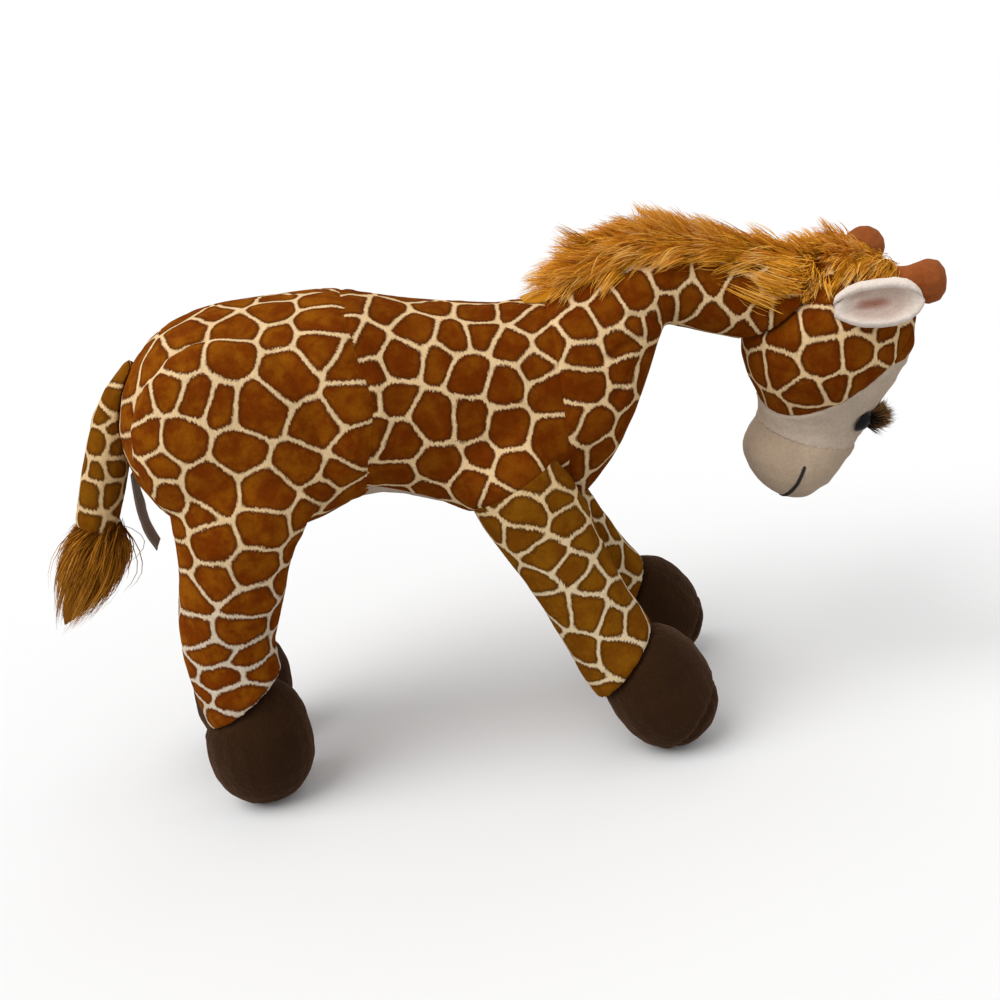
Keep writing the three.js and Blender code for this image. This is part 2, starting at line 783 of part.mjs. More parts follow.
const mouthStitch = new THREE.ExtrudeGeometry(stitchSection, {
  steps: mouthHalfSteps * 2,
  extrudePath: new THREE.CatmullRomCurve3(mouthPoints),
});
place('mouth_stitch', solid(mouthStitch), thread, headGroup);

for (const side of [-1, 1]) {
  const pad = new THREE.SphereGeometry(1, softSides, smallSides);
  pad.scale(nostrilWidth / 2, nostrilThickness, nostrilLength / 2);
  standing(pad, onHead(nostrilDownShare * headLength, side * nostrilAngle));
  place(`nostril_${sideName(side)}`, cut(solid(pad), headGrown), nostrilThread, headGroup);
}

// Ossicones, on the crown in front of the ears
const hornProfile = ossiconeShares.map(([along, stem, bulb]) => [
  stem * ossiconeStemRadius + bulb * ossiconeBulbRadius,
  along * ossiconeLength,
]);
const horns = [-1, 1].map((side) => {
  const body = lathed([[0, 0], ...hornProfile, [0, ossiconeLength]], softSides);
  const towards = vec(
    Math.cos(degrees(ossiconeLift)),
    side * Math.tan(degrees(ossiconeSplay)),
    Math.sin(degrees(ossiconeLift)),
  ).normalize();
  body.applyQuaternion(new THREE.Quaternion().setFromUnitVectors(leftAxis, towards));
  const [crown, up] = ossiconeBackShares;
  body.translate(crown * skullRadius, side * ossiconeSpread, up * headLength);
  place(`ossicone_${sideName(side)}`, cut(solid(body), headGrown), horn, headGroup);
  return body;
});

// Ears: a hollow leaf, and a lining in its hollow. `outer` and `inner` give the height of the
// leaf's two faces from how far round the hollow a point is, and the width there
function leaf(shares, halfWidthOf, outer, inner) {
  return shares.map(([along, width]) => {
    const half = halfWidthOf(width);
    const point = (i, wide, height) => {
      const turn = (i / earSteps) * Math.PI;
      return vec(along * earLength, -Math.cos(turn) * wide, height(Math.sin(turn), width));
    };
    const points = [];
    for (let i = 0; i <= earSteps; i += 1) points.push(point(i, half, outer));
    for (let i = earSteps - 1; i > 0; i -= 1) points.push(point(i, half * earBackShare, inner));
    return points;
  });
}
const earRings = leaf(
  earShares,
  (width) => width * earHalfWidth,
  (swell, width) => -swell * (earHollow * width + earThickness / 2) - earThickness / 2,
  (swell, width) => -swell * (earHollow * width - earThickness / 2) - earThickness / 2,
);
const liningRings = leaf(
  earShares.slice(1),
  (width) => Math.max(width * earHalfWidth - earRim, earRim / 2),
  (swell, width) =>
    -swell * (earHollow * width - earThickness / 2 - seamGap) - earThickness / 2 + seamGap * 2,
  (swell, width) =>
    -swell * (earHollow * width - earThickness / 2 - earLiningThickness) + earLiningThickness,
);
const outerEar = skin(earRings, vec(0, 0, -earThickness), vec(earLength, 0, -earThickness / 2));
const earLining = skin(
  liningRings,
  vec(earShares[0][0] * earLength, 0, -earThickness),
  vec(earLiningTipShare * earLength, 0, -earThickness / 2 + seamGap * 2),
);

for (const side of [-1, 1]) {
  const group = new THREE.Group();
  const [crown, out, up] = earRootShares;
  group.position.set(crown * skullRadius, side * out * skullHalfWidth, up * headLength);
  // +X of the ear runs to its tip, and its hollow faces +Z, turned out to the side and down
  const spread = degrees(earSpread);
  const lift = degrees(earLifts[sideName(side)]);
  const tip = vec(
    Math.cos(lift) * Math.cos(spread),
    Math.cos(lift) * Math.sin(spread) * side,
    Math.sin(lift),
  );
  const facing = tip.clone().cross(upAxis).multiplyScalar(-side).normalize();
  const across = facing.clone().cross(tip);
  group.quaternion.setFromRotationMatrix(new THREE.Matrix4().makeBasis(tip, across, facing));
  group.rotateX(degrees(-side * earTurn));
  group.updateMatrix();
  headGroup.add(group);
  const headHere = moved(headSkin(seamGap), group.matrix.clone().invert());
  const clear = swept([headHere], vec(0, 0, 0), leftAxis, -earSwingOut, earSwingIn);
  place(`ear_${sideName(side)}`, cut(solid(outerEar), clear), cover, group);
  const lining = cut(solid(earLining), clear, solid(outerEar));
  place(`ear_lining_${sideName(side)}`, lining, cream, group);
}

// Mane: a ridge along the top of the chest and neck
const topLine = [
  ...torsoRows.map(([x, top]) => [x, hipHeight + top]),
  ...chestRows.map(([x, top]) => [x, hipHeight + top]),
  ...neckRows
    .slice(1)
    .map(([along, drop, tall]) => [
      creaseX + along * neckLength,
      creaseMiddle + (drop + tall) * neckRadius,
    ]),
];
function topAt(x) {
  const after = topLine.findIndex(([place]) => place > x);
  const [low, high] = [topLine[after - 1], topLine[after]];
  return low[1] + ((high[1] - low[1]) * (x - low[0])) / (high[0] - low[0]);
}
const maneStart = maneStartShare * torsoLength;
const maneRings = smoothRows(maneShares, maneSteps).map(([along, high, wide]) => {
  const x = maneStart + along * (neckSeamCrown.x - maneStart);
  const height = high * maneHeight;
  return ring(
    vec(x, 0, topAt(x) + (height - maneRoot) / 2),
    leftAxis,
    upAxis,
    wide * maneHalfWidth,
    (height + maneRoot) / 2,
    softSides,
  );
});
const torsoGrown = solid(torsoSkin(seamGap));
const mane = cut(
  solid(skin(maneRings)),
  torsoGrown,
  solid(chestSkin(seamGap)),
  solid(neckSkin(seamGap)),
  beyondNeck,
);
place('mane', mane, fur);

// Forelock, behind and between the horns
const forelockBall = new THREE.SphereGeometry(1, softSides, smallSides);
forelockBall.scale(forelockLength, forelockHalfWidth, forelockHeight);
forelockBall.translate(
  forelockShares.forward * skullRadius,
  0,
  forelockShares.up * headLength,
);
function middleOfBox(geometry) {
  geometry.computeBoundingBox();
  return geometry.boundingBox.getCenter(vec());
}
const hornsGrown = horns.map((body) =>
  solid(moved(body, scaledAbout(middleOfBox(body), 1 + (seamGap * 2) / ossiconeStemRadius))),
);
const forelock = cut(solid(forelockBall), headGrown, ...hornsGrown).intersect(headSide);
place('forelock', forelock, fur, headGroup);

// Tail and its tuft
const tailRoot = vec(tailRootShares[0] * rumpRadius, 0, hipHeight + tailRootShares[1] * rumpRadius);
function hanging(rows, start, drop, reach, radius) {
  const middles = rows.map(([down, back]) => vec(start.x - back * reach, 0, start.z - down * drop));
  return rows.map(([, , round], i) => {
    const before = middles[Math.max(0, i - 1)];
    const after = middles[Math.min(rows.length - 1, i + 1)];
    const along = after.clone().sub(before).normalize();
    const thick = along.clone().cross(leftAxis);
    return ring(middles[i], leftAxis, thick, round * radius, round * radius, softSides);
  });
}
const tailRings = hanging(smoothRows(tailShares, tailSteps), tailRoot, tailDrop, tailDrop, tailRadius);
const tailWhole = skin(tailRings);
const tailClear = swept([torsoSkin(seamGap)], tailRoot, leftAxis, 0, tailSwing);
place('tail', cut(solid(tailWhole), tailClear), cover);

const tailEnd = middleOf(tailRings[tailRings.length - 1]);
const tuftRings = hanging(smoothRows(tuftShares, tuftSteps), tailEnd, tuftLength, tuftBack, tuftRadius);
const tuftTip = vec(tailEnd.x - tuftBack, 0, tailEnd.z - tuftLength);
const tailGrown = solid(moved(tailWhole, scaledAbout(tailEnd, 1 + (seamGap * 2) / tailRadius)));
place('tail_tuft', cut(solid(skin(tuftRings, undefined, tuftTip)), tailGrown), fur);

// Care label: a folded ribbon that hangs from the rump seam
const labelTop = -labelRootShare * rumpRadius;
const labelX = -Math.sqrt(rumpRadius ** 2 - labelTop ** 2);
const labelCurve = new THREE.QuadraticBezierCurve(
  new THREE.Vector2(labelX, hipHeight + labelTop),
  new THREE.Vector2(labelX - labelBow, hipHeight + labelTop - labelLength / 2),
  new THREE.Vector2(labelX + labelBow, hipHeight + labelTop - labelLength),
);
const labelFront = labelCurve.getPoints(labelSteps);
const labelBack = labelFront
  .map((point) => new THREE.Vector2(point.x - labelThickness, point.y))
  .reverse();
const label = new THREE.ExtrudeGeometry(new THREE.Shape([...labelFront, ...labelBack]), {
  depth: labelWidth,
  bevelEnabled: false,
});
label.rotateX(Math.PI / 2).translate(0, labelWidth / 2, 0);
place('care_label', cut(solid(label), torsoGrown), ribbon);

// A hoof before its cuts, round its own middle
function hoofOval() {
  const rings = [];
  for (let i = 1; i < hoofRings; i += 1) {
    const turn = (i / hoofRings) * Math.PI;
    const round = curvePower(Math.sin(turn), hoofFullness);
    rings.push(
      ring(
        vec(0, 0, curvePower(Math.cos(turn), hoofFullness) * hoofHalfHeight),
        forwardAxis,
        leftAxis,
        round * hoofHalfDepth,
        round * hoofHalfWidth,
        hoofSides,
      ),
    );
  }
  return skin(rings, vec(0, 0, hoofHalfHeight), vec(0, 0, -hoofHalfHeight));
}

// One leg in a group of its own, with its hinge at the origin and hanging straight down, and
// its hoof and sole. `root` is joined to its top, and `clear` is what the body takes from it
function limb(pair, spec, side, clear, root) {
  const name = `${pair}_${sideName(side)}`;
  const group = new THREE.Group();
  group.position.set(spec.pivot.forward, side * spec.pivot.out, spec.pivot.up);
  const swing = degrees(spec.swings[sideName(side)]);
  group.rotation.set(degrees(side * spec.splays[sideName(side)]), -swing, 0, 'YXZ');
  group.updateMatrix();
  toy.add(group);
  const inLeg = (body) => solid(moved(geometryOf(body), group.matrix.clone().invert()));

  // The leg is as long as it takes for its hoof to stand on the floor
  const turned = moved(hoofOval(), new THREE.Matrix4().extractRotation(group.matrix));
  turned.computeBoundingBox();
  const hoofHeight = -turned.boundingBox.min.z - floorFlat;
  const down = downAxis.clone().transformDirection(group.matrix);
  const forward = forwardAxis.clone().transformDirection(group.matrix);
  const reach = (spec.pivot.up + forward.z * spec.footForward - hoofHeight) / -down.z;
  const hoofMiddle = vec(spec.footForward, 0, -reach);
  const away = (tilt) => downAxis.clone().applyAxisAngle(leftAxis, -degrees(tilt));
  const legSide = away(spec.cuffTilt).negate();
  const soleSide = away(spec.soleTilt);
  const cuff = hoofMiddle.clone().addScaledVector(legSide, cuffOffset);
  const legEnd = cuff.clone().addScaledVector(legSide, seamGap);
  const sole = hoofMiddle.clone().addScaledVector(soleSide, spec.soleOffset);
  const soleStart = sole.clone().addScaledVector(soleSide, seamGap);
  const footOnFloor = hoofMiddle.clone().applyMatrix4(group.matrix).setZ(0);
  const foot = cut(
    solid(hoofOval().translate(...hoofMiddle.toArray())),
    inLeg(block(footOnFloor, downAxis)),
  );
  const hoof = cut(foot, block(cuff, legSide), block(sole, soleSide));
  place(`hoof_${name}`, hoof, hoofPlush, group);
  place(`sole_${name}`, foot.intersect(block(soleStart, soleSide)), hoofPlush, group);

  const rings = smoothRows(spec.shares, legSteps).map(([along, middle, depth, width]) =>
    ring(
      vec(middle * legDepth, 0, -along * reach),
      forwardAxis,
      leftAxis,
      depth * legDepth,
      width * legWidth,
      legSides,
    ),
  );
  const shank = cut(solid(skin(rings)), inLeg(clear), block(legEnd, legSide.clone().negate()));
  place(`leg_${name}`, root ? shank.add(inLeg(root)) : shank, cover, group);
}

// Hind legs, each with a haunch that turns in the torso's pocket, clear of the rump
const aroundHips = (profile, sides) => lathed(profile, sides).translate(0, 0, hipHeight);
const rumpClear = Array.from({ length: rumpRings * 2 + 1 }, (_, i) => {
  const turn = (i / (rumpRings * 2)) * Math.PI;
  const radius = i % (rumpRings * 2) ? Math.sin(turn) * (rumpRadius + hipClearance) : 0;
  return [radius, -Math.cos(turn) * rumpHalfWidth];
});
const rumpEnd = block(vec(rumpEndShare * torsoLength, 0, hipHeight), forwardAxis);
const torsoFront = cut(solid(torsoSkin(seamGap)), ...hipPockets(0)).intersect(rumpEnd);
const hips = vec(0, 0, hipHeight);
const hindClear = solid(aroundHips(rumpClear, torsoSides)).add(
  swept([geometryOf(torsoFront)], hips, leftAxis, -hindSwing, hindSwing),
);
const haunchStart = haunchInner + seamGap;
const haunchArc = Array.from({ length: haunchSteps }, (_, i) => {
  const turn = (i / haunchSteps) * (Math.PI / 2);
  return [
    curvePower(Math.cos(turn), haunchFullness) * haunchRadius,
    haunchStart + curvePower(Math.sin(turn), haunchFullness) * (haunchOuter - haunchStart),
  ];
});
for (const side of [-1, 1]) {
  const profile = [[0, haunchStart], ...haunchArc, [0, haunchOuter]];
  const haunch = aroundHips(
    profile.map(([radius, out]) => [radius, side * out]),
    torsoSides,
  );
  limb('rear', hindLeg, side, hindClear, solid(haunch));
}

// Front legs, cut by all that the body sweeps as they swing
for (const side of [-1, 1]) {
  const { forward, up, out } = frontLeg.pivot;
  const shoulder = vec(forward, side * out, up);
  const body = [torsoSkin(seamGap), chestSkin(seamGap)];
  const clear = swept(body, shoulder, leftAxis, -frontSwing, frontSwing);
  limb('front', frontLeg, side, clear);
}

// The origin is on the floor, under the middle of the toy
toy.updateMatrixWorld(true);
const box = new THREE.Box3().setFromObject(toy, true);
const middle = box.getCenter(vec());
toy.position.set(-middle.x, -middle.y, -box.min.z);

export default toy;
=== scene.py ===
"""Looks of a stuffed plush giraffe: covers of printed plush with sewn seams, fur of real strands,
velvet hooves and embroidery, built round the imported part. Metres, +Z up, +X towards the head."""
import json
import math

import bmesh
import bpy
import numpy as np
from mathutils import Matrix, Vector, noise
from mathutils.bvhtree import BVHTree
from mathutils.kdtree import KDTree


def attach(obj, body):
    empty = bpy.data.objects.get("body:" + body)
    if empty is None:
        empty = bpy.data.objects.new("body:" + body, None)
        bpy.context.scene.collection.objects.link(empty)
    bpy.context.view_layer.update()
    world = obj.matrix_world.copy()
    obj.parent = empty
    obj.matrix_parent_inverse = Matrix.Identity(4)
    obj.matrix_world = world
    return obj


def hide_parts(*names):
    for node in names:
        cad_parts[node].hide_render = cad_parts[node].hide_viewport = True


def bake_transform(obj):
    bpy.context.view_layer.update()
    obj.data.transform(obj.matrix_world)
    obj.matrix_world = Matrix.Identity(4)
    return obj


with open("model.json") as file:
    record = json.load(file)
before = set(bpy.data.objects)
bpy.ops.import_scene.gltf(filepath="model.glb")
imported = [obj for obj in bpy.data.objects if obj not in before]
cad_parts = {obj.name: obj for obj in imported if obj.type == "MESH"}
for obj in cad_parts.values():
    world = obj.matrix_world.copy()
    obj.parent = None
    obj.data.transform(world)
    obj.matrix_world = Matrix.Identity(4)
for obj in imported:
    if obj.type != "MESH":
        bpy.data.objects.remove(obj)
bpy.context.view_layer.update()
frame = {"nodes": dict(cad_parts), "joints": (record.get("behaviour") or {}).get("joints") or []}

MM = 0.001
SEED = 7
NODES = frame["nodes"]
JOINTS = {joint["name"]: joint for joint in frame["joints"]}
SIDES = ("right", "left")

# Camera: its place in the part's frame, and its turns in degrees
FRAME_PX = 1000
CAMERA_AT = (-0.0598, -0.9059, 0.5136)
CAMERA_YAW = 4
CAMERA_PITCH = 19.5
CAMERA_ROLL = 7.46
FOCAL_PX = 1250
SENSOR = 36
CLIP_START = 0.05

# Meshing
VOXEL = 2.2 * MM
FINE_VOXEL = 1.8 * MM
SMALL_VOXEL = 1.2 * MM
TINY_VOXEL = 0.5 * MM
BACKING_VOXEL = 3 * MM
MERGE = 1e-6
SHARP_ANGLE = 42
EDGE_STEP = 1 * MM
TOUCHING = 1.2 * MM
FAR = 1.0

# How a cover is smoothed, drawn in along its seams, and filled
RELAX_IN = 0.5
RELAX_OUT = 0.53
STIFFEST = 0.1
PINCH_WIDTH = 3.2 * MM
PUCKER_SIZE = 5 * MM
PUCKER_REACH = 8 * MM
PUCKER_SHARE = 0.5
LUMP_SIZE = 38 * MM
SMALL_LUMP_SIZE = 16 * MM
SMALL_LUMP_SHARE = 0.3
LUMP_CLEAR = 25 * MM

# What a line of stitches does beside itself, in widths of the line and in metres
RIM_AT = 3
RIM_WIDTH = 1.6
RIM_SHARE = 0.35
STITCH_PUCKER_SIZE = 6 * MM
STITCH_PUCKER_REACH = 9 * MM

# What keeps one use of the noise apart from another
NOISE_SHIFT = {
    "lumps": 1.7,
    "small lumps": 5.2,
    "puckers": 3.1,
    "stitches": 8.3,
    "ear": 2.2,
    "locks": 4.4,
    "label": 6.1,
}

# Starts of the lines that are cast on the toy from beside it and from above
BESIDE = 0.2
ABOVE = 0.6

# The filled hips end before the belly's panel and above the thighs
HIP_FRONT = -0.068
HIP_BOTTOM = 0.215
HIP_FILL = 0.993
HIP_RISE_AT = (-0.1, 0, 0.236)
HIP_RISE = (0.55, 0, -0.83)
TUCK = 2.5 * MM

# The seam that joins the rump to the body, from the belly up to the back, and how near to it
# vertices snap, in voxels; and the seam along the back
RUMP_SEAM_X = (-0.093, -0.078, -0.0915)
RUMP_SEAM_Z = (0.24, 0.302, 0.371)
RUMP_SEAM_SPAN = (0.19, 0.385)
SNAP = 0.52
BACK_SEAM_SPAN = (-0.255, 0.05)

# The edge of the cream belly, and the head's height over which the face is spotted
BELLY_EDGE_X = (-0.102, -0.09, -0.065, -0.035, -0.015, 0.03)
BELLY_EDGE_Z = (0.234, 0.2385, 0.2255, 0.2125, 0.206, 0.2)
BROW = -11 * MM

# The plane that the toy is alike on both sides of
MIDDLE_Y = -0.00807

# The straight seam over each front leg, from behind to ahead: (x, z). The body swells this far
# over and under it and past its ends, and the leg goes this deep under the skin
SHOULDER_SEAM = ((-0.0183, 0.2123), (0.0608, 0.2508))
SHOULDER_STEPS = 40
SHOULDER_OVER = 38 * MM
SHOULDER_UNDER = 16 * MM
SHOULDER_ENDS = 0.35
SHOULDER_FLANK = 10 * MM
SHOULDER_DEPTH = 2.5 * MM
SHOULDER_EDGE = 5 * MM

# Folds of the neck's near side, in pixels of the photograph
NECK_FOLDS_PX = (
    ((660, 322), (638, 316), (612, 318)),
    ((655, 336), (632, 342), (604, 360)),
    ((650, 350), (636, 368), (618, 396)),
)

# The printed cells of the side in view: (x, y, reach) in pixels of the photograph
REAR_CELLS_PX = [
    (276, 298, 12), (303, 291, 9), (238, 302, 11), (313, 301, 12), (273, 311, 20), (215, 313, 12),
    (187, 315, 9), (186, 334, 18), (236, 329, 22), (278, 336, 15), (318, 320, 19), (315, 350, 20),
    (153, 364, 15), (184, 358, 20), (231, 355, 23), (287, 376, 27), (346, 369, 15),
    (171, 391, 18), (141, 407, 14), (193, 398, 21), (221, 406, 19), (261, 408, 28),
    (314, 427, 25), (349, 402, 20), (354, 448, 19), (185, 441, 22), (242, 451, 24),
    (298, 463, 24), (148, 437, 17), (124, 420, 14), (129, 448, 12), (162, 466, 16),
    (145, 479, 11), (211, 487, 26), (268, 492, 25), (337, 473, 14), (318, 493, 13),
    (170, 497, 16), (200, 512, 16), (265, 528, 23), (306, 512, 14), (174, 528, 12),
    (214, 544, 20), (181, 555, 12), (295, 546, 13), (257, 568, 22), (215, 582, 19),
    (188, 595, 18), (283, 581, 10), (253, 605, 22), (191, 634, 18), (243, 631, 22),
    (211, 654, 15), (254, 654, 17), (187, 669, 8), (221, 681, 18), (263, 671, 14),
    (240, 698, 19), (199, 691, 9), (217, 721, 14), (260, 710, 17), (278, 677, 8),
]
BODY_CELLS_PX = [
    (352, 303, 12), (388, 310, 19), (432, 306, 15), (477, 312, 17), (514, 311, 13),
    (347, 333, 16), (368, 342, 17), (414, 328, 20), (453, 337, 16), (482, 335, 15),
    (511, 346, 18), (401, 358, 21), (440, 364, 16), (471, 376, 22), (507, 386, 22),
    (532, 369, 15), (396, 399, 19), (434, 418, 24), (470, 420, 21), (508, 429, 23),
    (548, 398, 20), (402, 441, 21), (377, 432, 15), (374, 372, 12), (373, 403, 11),
    (441, 464, 21), (481, 453, 16), (549, 439, 22), (515, 466, 19), (393, 474, 16),
    (469, 485, 18), (432, 491, 11), (496, 500, 14), (529, 321, 14), (552, 341, 15),
]
CHEST_CELLS_PX = [
    (550, 302, 18), (581, 325, 18), (608, 309, 20), (634, 322, 13), (556, 345, 14), (584, 358, 18),
    (620, 345, 17), (583, 386, 22), (625, 371, 16), (622, 398, 13), (598, 424, 18),
    (575, 412, 11), (604, 451, 14), (585, 286, 14), (634, 294, 20), (668, 305, 12),
    (688, 302, 14), (671, 280, 10), (716, 284, 12), (711, 319, 17), (740, 298, 17),
    (745, 328, 11), (763, 316, 16), (788, 315, 20), (650, 320, 9), (820, 300, 15),
    (549, 439, 20), (529, 321, 12),
]
FRONT_LEG_CELLS_PX = [
    (525, 512, 21), (560, 500, 15), (566, 476, 15), (535, 481, 17), (571, 520, 17), (522, 540, 17),
    (490, 528, 12), (545, 556, 19), (573, 569, 17), (535, 584, 14), (593, 579, 14),
    (554, 607, 17), (590, 612, 20), (553, 627, 13), (613, 619, 18), (636, 620, 15),
    (582, 651, 17), (617, 658, 19), (641, 666, 19), (588, 674, 12), (607, 694, 13),
    (586, 538, 12), (511, 565, 11), (524, 591, 9), (652, 640, 8),
]
FAR_LEG_CELLS_PX = [
    (597, 509, 8), (597, 536, 14), (612, 528, 7), (609, 558, 16), (629, 533, 10), (634, 559, 14),
    (617, 583, 8),
]
HEAD_CELLS_PX = [
    (781, 371, 20), (757, 367, 15), (743, 359, 13), (776, 408, 15), (750, 393, 8), (804, 393, 18),
    (823, 356, 20), (836, 388, 12), (857, 352, 17), (820, 326, 17), (849, 318, 9),
    (882, 333, 10), (887, 353, 7), (905, 345, 13), (868, 330, 7),
]
TAIL_CELLS_PX = [
    (120, 371, 13), (103, 392, 10), (124, 392, 7), (101, 418, 8), (96, 441, 13), (112, 432, 8),
    (117, 448, 10), (84, 461, 9), (99, 472, 8), (114, 468, 9), (90, 496, 13), (110, 495, 12),
    (90, 525, 12), (109, 529, 9),
]

# How the cells of the sides out of view are spread: least distance between their middles
CELL_SPACING = {
    "rear": 31 * MM,
    "body": 29 * MM,
    "chest": 26 * MM,
    "front_leg": 25 * MM,
    "head": 24 * MM,
    "tail": 17 * MM,
}
CELL_CLEAR = 1.02
CELL_GAPS = (0.92, 1.12)
CELL_REACH = 0.55
CELL_REACHES = (0.85, 1.15)

# How far prints are squeezed along the legs
LEG_SQUEEZE = 1.35
SHANK_SQUEEZE = 0.7
SHANK = (0.23, 0.12)


def vec(*numbers):
    return np.array(numbers, float)


def unit(v):
    v = np.asarray(v, float)
    return v / np.maximum(np.linalg.norm(v, axis=-1, keepdims=True), 1e-12)


def smoothstep(low, high, x):
    t = np.clip((x - low) / (high - low), 0, 1)
    return t * t * (3 - 2 * t)


# Camera

def camera_axes():
    """The camera's right, up and look directions."""
    yaw, pitch, roll = map(math.radians, (CAMERA_YAW, CAMERA_PITCH, CAMERA_ROLL))
    look = vec(
        math.sin(yaw) * math.cos(pitch), math.cos(yaw) * math.cos(pitch), -math.sin(pitch)
    )
    level = vec(math.cos(yaw), -math.sin(yaw), 0)
    above = np.cross(level, look)
    right = level * math.cos(roll) - above * math.sin(roll)
    up = level * math.sin(roll) + above * math.cos(roll)
    return right, up, look


def ray_of(x, y):
    right, up, look = camera_axes()
    half = FRAME_PX / 2
    return unit(look + right * (x - half) / FOCAL_PX - up * (y - half) / FOCAL_PX)


def make_camera():
    data = bpy.data.cameras.new("camera")
    data.sensor_width = SENSOR
    data.lens = SENSOR * FOCAL_PX / FRAME_PX
    data.clip_start = CLIP_START
    camera = new_object("camera", data)
    right, up, look = camera_axes()
    turn = Matrix([list(row) for row in np.array([right, up, -look]).T]).to_4x4()
    camera.matrix_world = Matrix.Translation(CAMERA_AT) @ turn
    bpy.context.scene.camera = camera


# Meshes

def new_object(name, data):
    made = bpy.data.objects.new(name, data)
    bpy.context.scene.collection.objects.link(made)
    return made


def mesh_of(name, places, faces):
    mesh = bpy.data.meshes.new(name)
    mesh.from_pydata([tuple(p) for p in places], [], [tuple(f) for f in faces])
    mesh.validate()
    return mesh


def solid_of(nodes):
    """The CAD solids of some nodes as one bmesh with merged corners."""
    made = bmesh.new()
    for node in nodes:
        made.from_mesh(NODES[node].data)
    bmesh.ops.remove_doubles(made, verts=made.verts, dist=MERGE)
    return made


def read(items, field, width=3, kind=np.float32):
    """One field of all of a mesh's vertices, edges or faces, in rows."""
    found = np.empty(len(items) * width, kind)
    items.foreach_get(field, found)
    return found.reshape(-1, width)


def places_of(mesh):
    return read(mesh.vertices, "co").astype(float)


def set_places(mesh, places):
    mesh.vertices.foreach_set("co", places.astype(np.float32).ravel())
    mesh.update()


def normals_of(mesh):
    return read(mesh.vertex_normals, "vector").astype(float)


def edges_of(mesh):
    return read(mesh.edges, "vertices", 2, np.int32)


def tree_over(*pieces):
    places, faces, first = [], [], 0
    for piece in pieces:
        places += [tuple(p) for p in places_of(piece.data)]
        faces += [tuple(first + i for i in face.vertices) for face in piece.data.polygons]
        first = len(places)
    return BVHTree.FromPolygons(places, faces)


def distances(places, points):
    """How far each place is from the nearest of some points."""
    if not len(points):
        return np.full(len(places), FAR)
    tree = KDTree(len(points))
    for i, point in enumerate(points):
        tree.insert(point, i)
    tree.balance()
    return np.array([tree.find(p)[2] for p in places])


def sharp_points(nodes):
    """Points along the sharp edges of each node's solid, and of those where two nodes touch."""
    rim, joint = [], []
    solids = {node: solid_of([node]) for node in nodes}
    trees = {node: BVHTree.FromBMesh(solid) for node, solid in solids.items()}
    for node, solid in solids.items():
        others = [tree for other, tree in trees.items() if other != node]
        for edge in solid.edges:
            if len(edge.link_faces) != 2 or edge.calc_face_angle() < math.radians(SHARP_ANGLE):
                continue
            a, b = (v.co for v in edge.verts)
            steps = max(1, round((b - a).length / EDGE_STEP))
            for i in range(steps + 1):
                at = a.lerp(b, i / steps)
                meets = any(tree.find_nearest(at, TOUCHING)[0] for tree in others)
                (joint if meets else rim).append(at)
        solid.free()
    return rim, joint


def remeshed(name, solid, voxel):
    mesh = bpy.data.meshes.new(name)
    solid.to_mesh(mesh)
    solid.free()
    rough = new_object(name + "_rough", mesh)
    modifier = rough.modifiers.new("remesh", "REMESH")
    modifier.mode = "VOXEL"
    modifier.voxel_size = voxel
    graph = bpy.context.evaluated_depsgraph_get()
    graph.update()
    fine = bpy.data.meshes.new_from_object(rough.evaluated_get(graph))
    fine.name = name
    bpy.data.objects.remove(rough)
    return fine


def relax(places, edges, weight, rounds, out=RELAX_OUT):
    """Evens out a surface without shrinking it, as far as each vertex's weight lets it."""
    count = len(places)
    a, b = edges.T
    degree = np.bincount(a, minlength=count) + np.bincount(b, minlength=count)
    for turn in range(rounds * 2):
        rows = [np.bincount(a, row[b], count) + np.bincount(b, row[a], count) for row in places.T]
        step = np.stack(rows, 1) / np.maximum(degree, 1)[:, None] - places
        places = places + step * (weight * (RELAX_IN if turn % 2 == 0 else -out))[:, None]
    return places


def noise_at(places, scale, use):
    """Smooth noise from -1 to 1, with features about `scale` wide."""
    shift = NOISE_SHIFT[use]
    shift = Vector((shift, shift * 0.7, -shift))
    return np.array([noise.noise(Vector(p) / scale + shift) for p in places])


def cover(name, nodes, voxel=VOXEL, rounds=45, reach=12 * MM, pinch=0.8 * MM, lumps=1.2 * MM,
          seam_at_joint=False, filled=None, seamed=True):
    """A soft cover over some CAD solids: their shape without its facets, drawn in along its
    seams, with the stuffing's lumps and puckers. `filled` adds to the solids before."""
    rim, joint = sharp_points(nodes) if seamed else ([], [])
    solid = solid_of(nodes)
    if filled:
        filled(solid)
    mesh = remeshed(name, solid, voxel)
    places = places_of(mesh)
    edges = edges_of(mesh)
    away = distances(places, rim + joint if seam_at_joint else rim)
    places = relax(places, edges, np.ones(len(places)), 1, RELAX_IN)
    places = relax(places, edges, np.clip(away / reach, STIFFEST, 1), rounds)
    set_places(mesh, places)
    sunk = pinch * np.exp(-((away / PINCH_WIDTH) ** 2))
    pucker = noise_at(places, PUCKER_SIZE, "puckers") * np.exp(-away / PUCKER_REACH)
    swell = noise_at(places, LUMP_SIZE, "lumps") * lumps
    swell += noise_at(places, SMALL_LUMP_SIZE, "small lumps") * lumps * SMALL_LUMP_SHARE
    swell *= smoothstep(0, LUMP_CLEAR, away)
    out = swell + pucker * pinch * PUCKER_SHARE - sunk
    set_places(mesh, places + normals_of(mesh) * out[:, None])
    mesh.shade_smooth()
    made = new_object(name, mesh)
    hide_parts(*nodes)
    return made


def tucked(node, way):
    """Lets a cover reach a little under the edge of its neighbour."""

    def reach_under(solid):
        first = len(solid.verts)
        solid.from_mesh(NODES[node].data)
        solid.verts.ensure_lookup_table()
        for vert in solid.verts[first:]:
            vert.co += Vector(way) * TUCK

    return reach_under


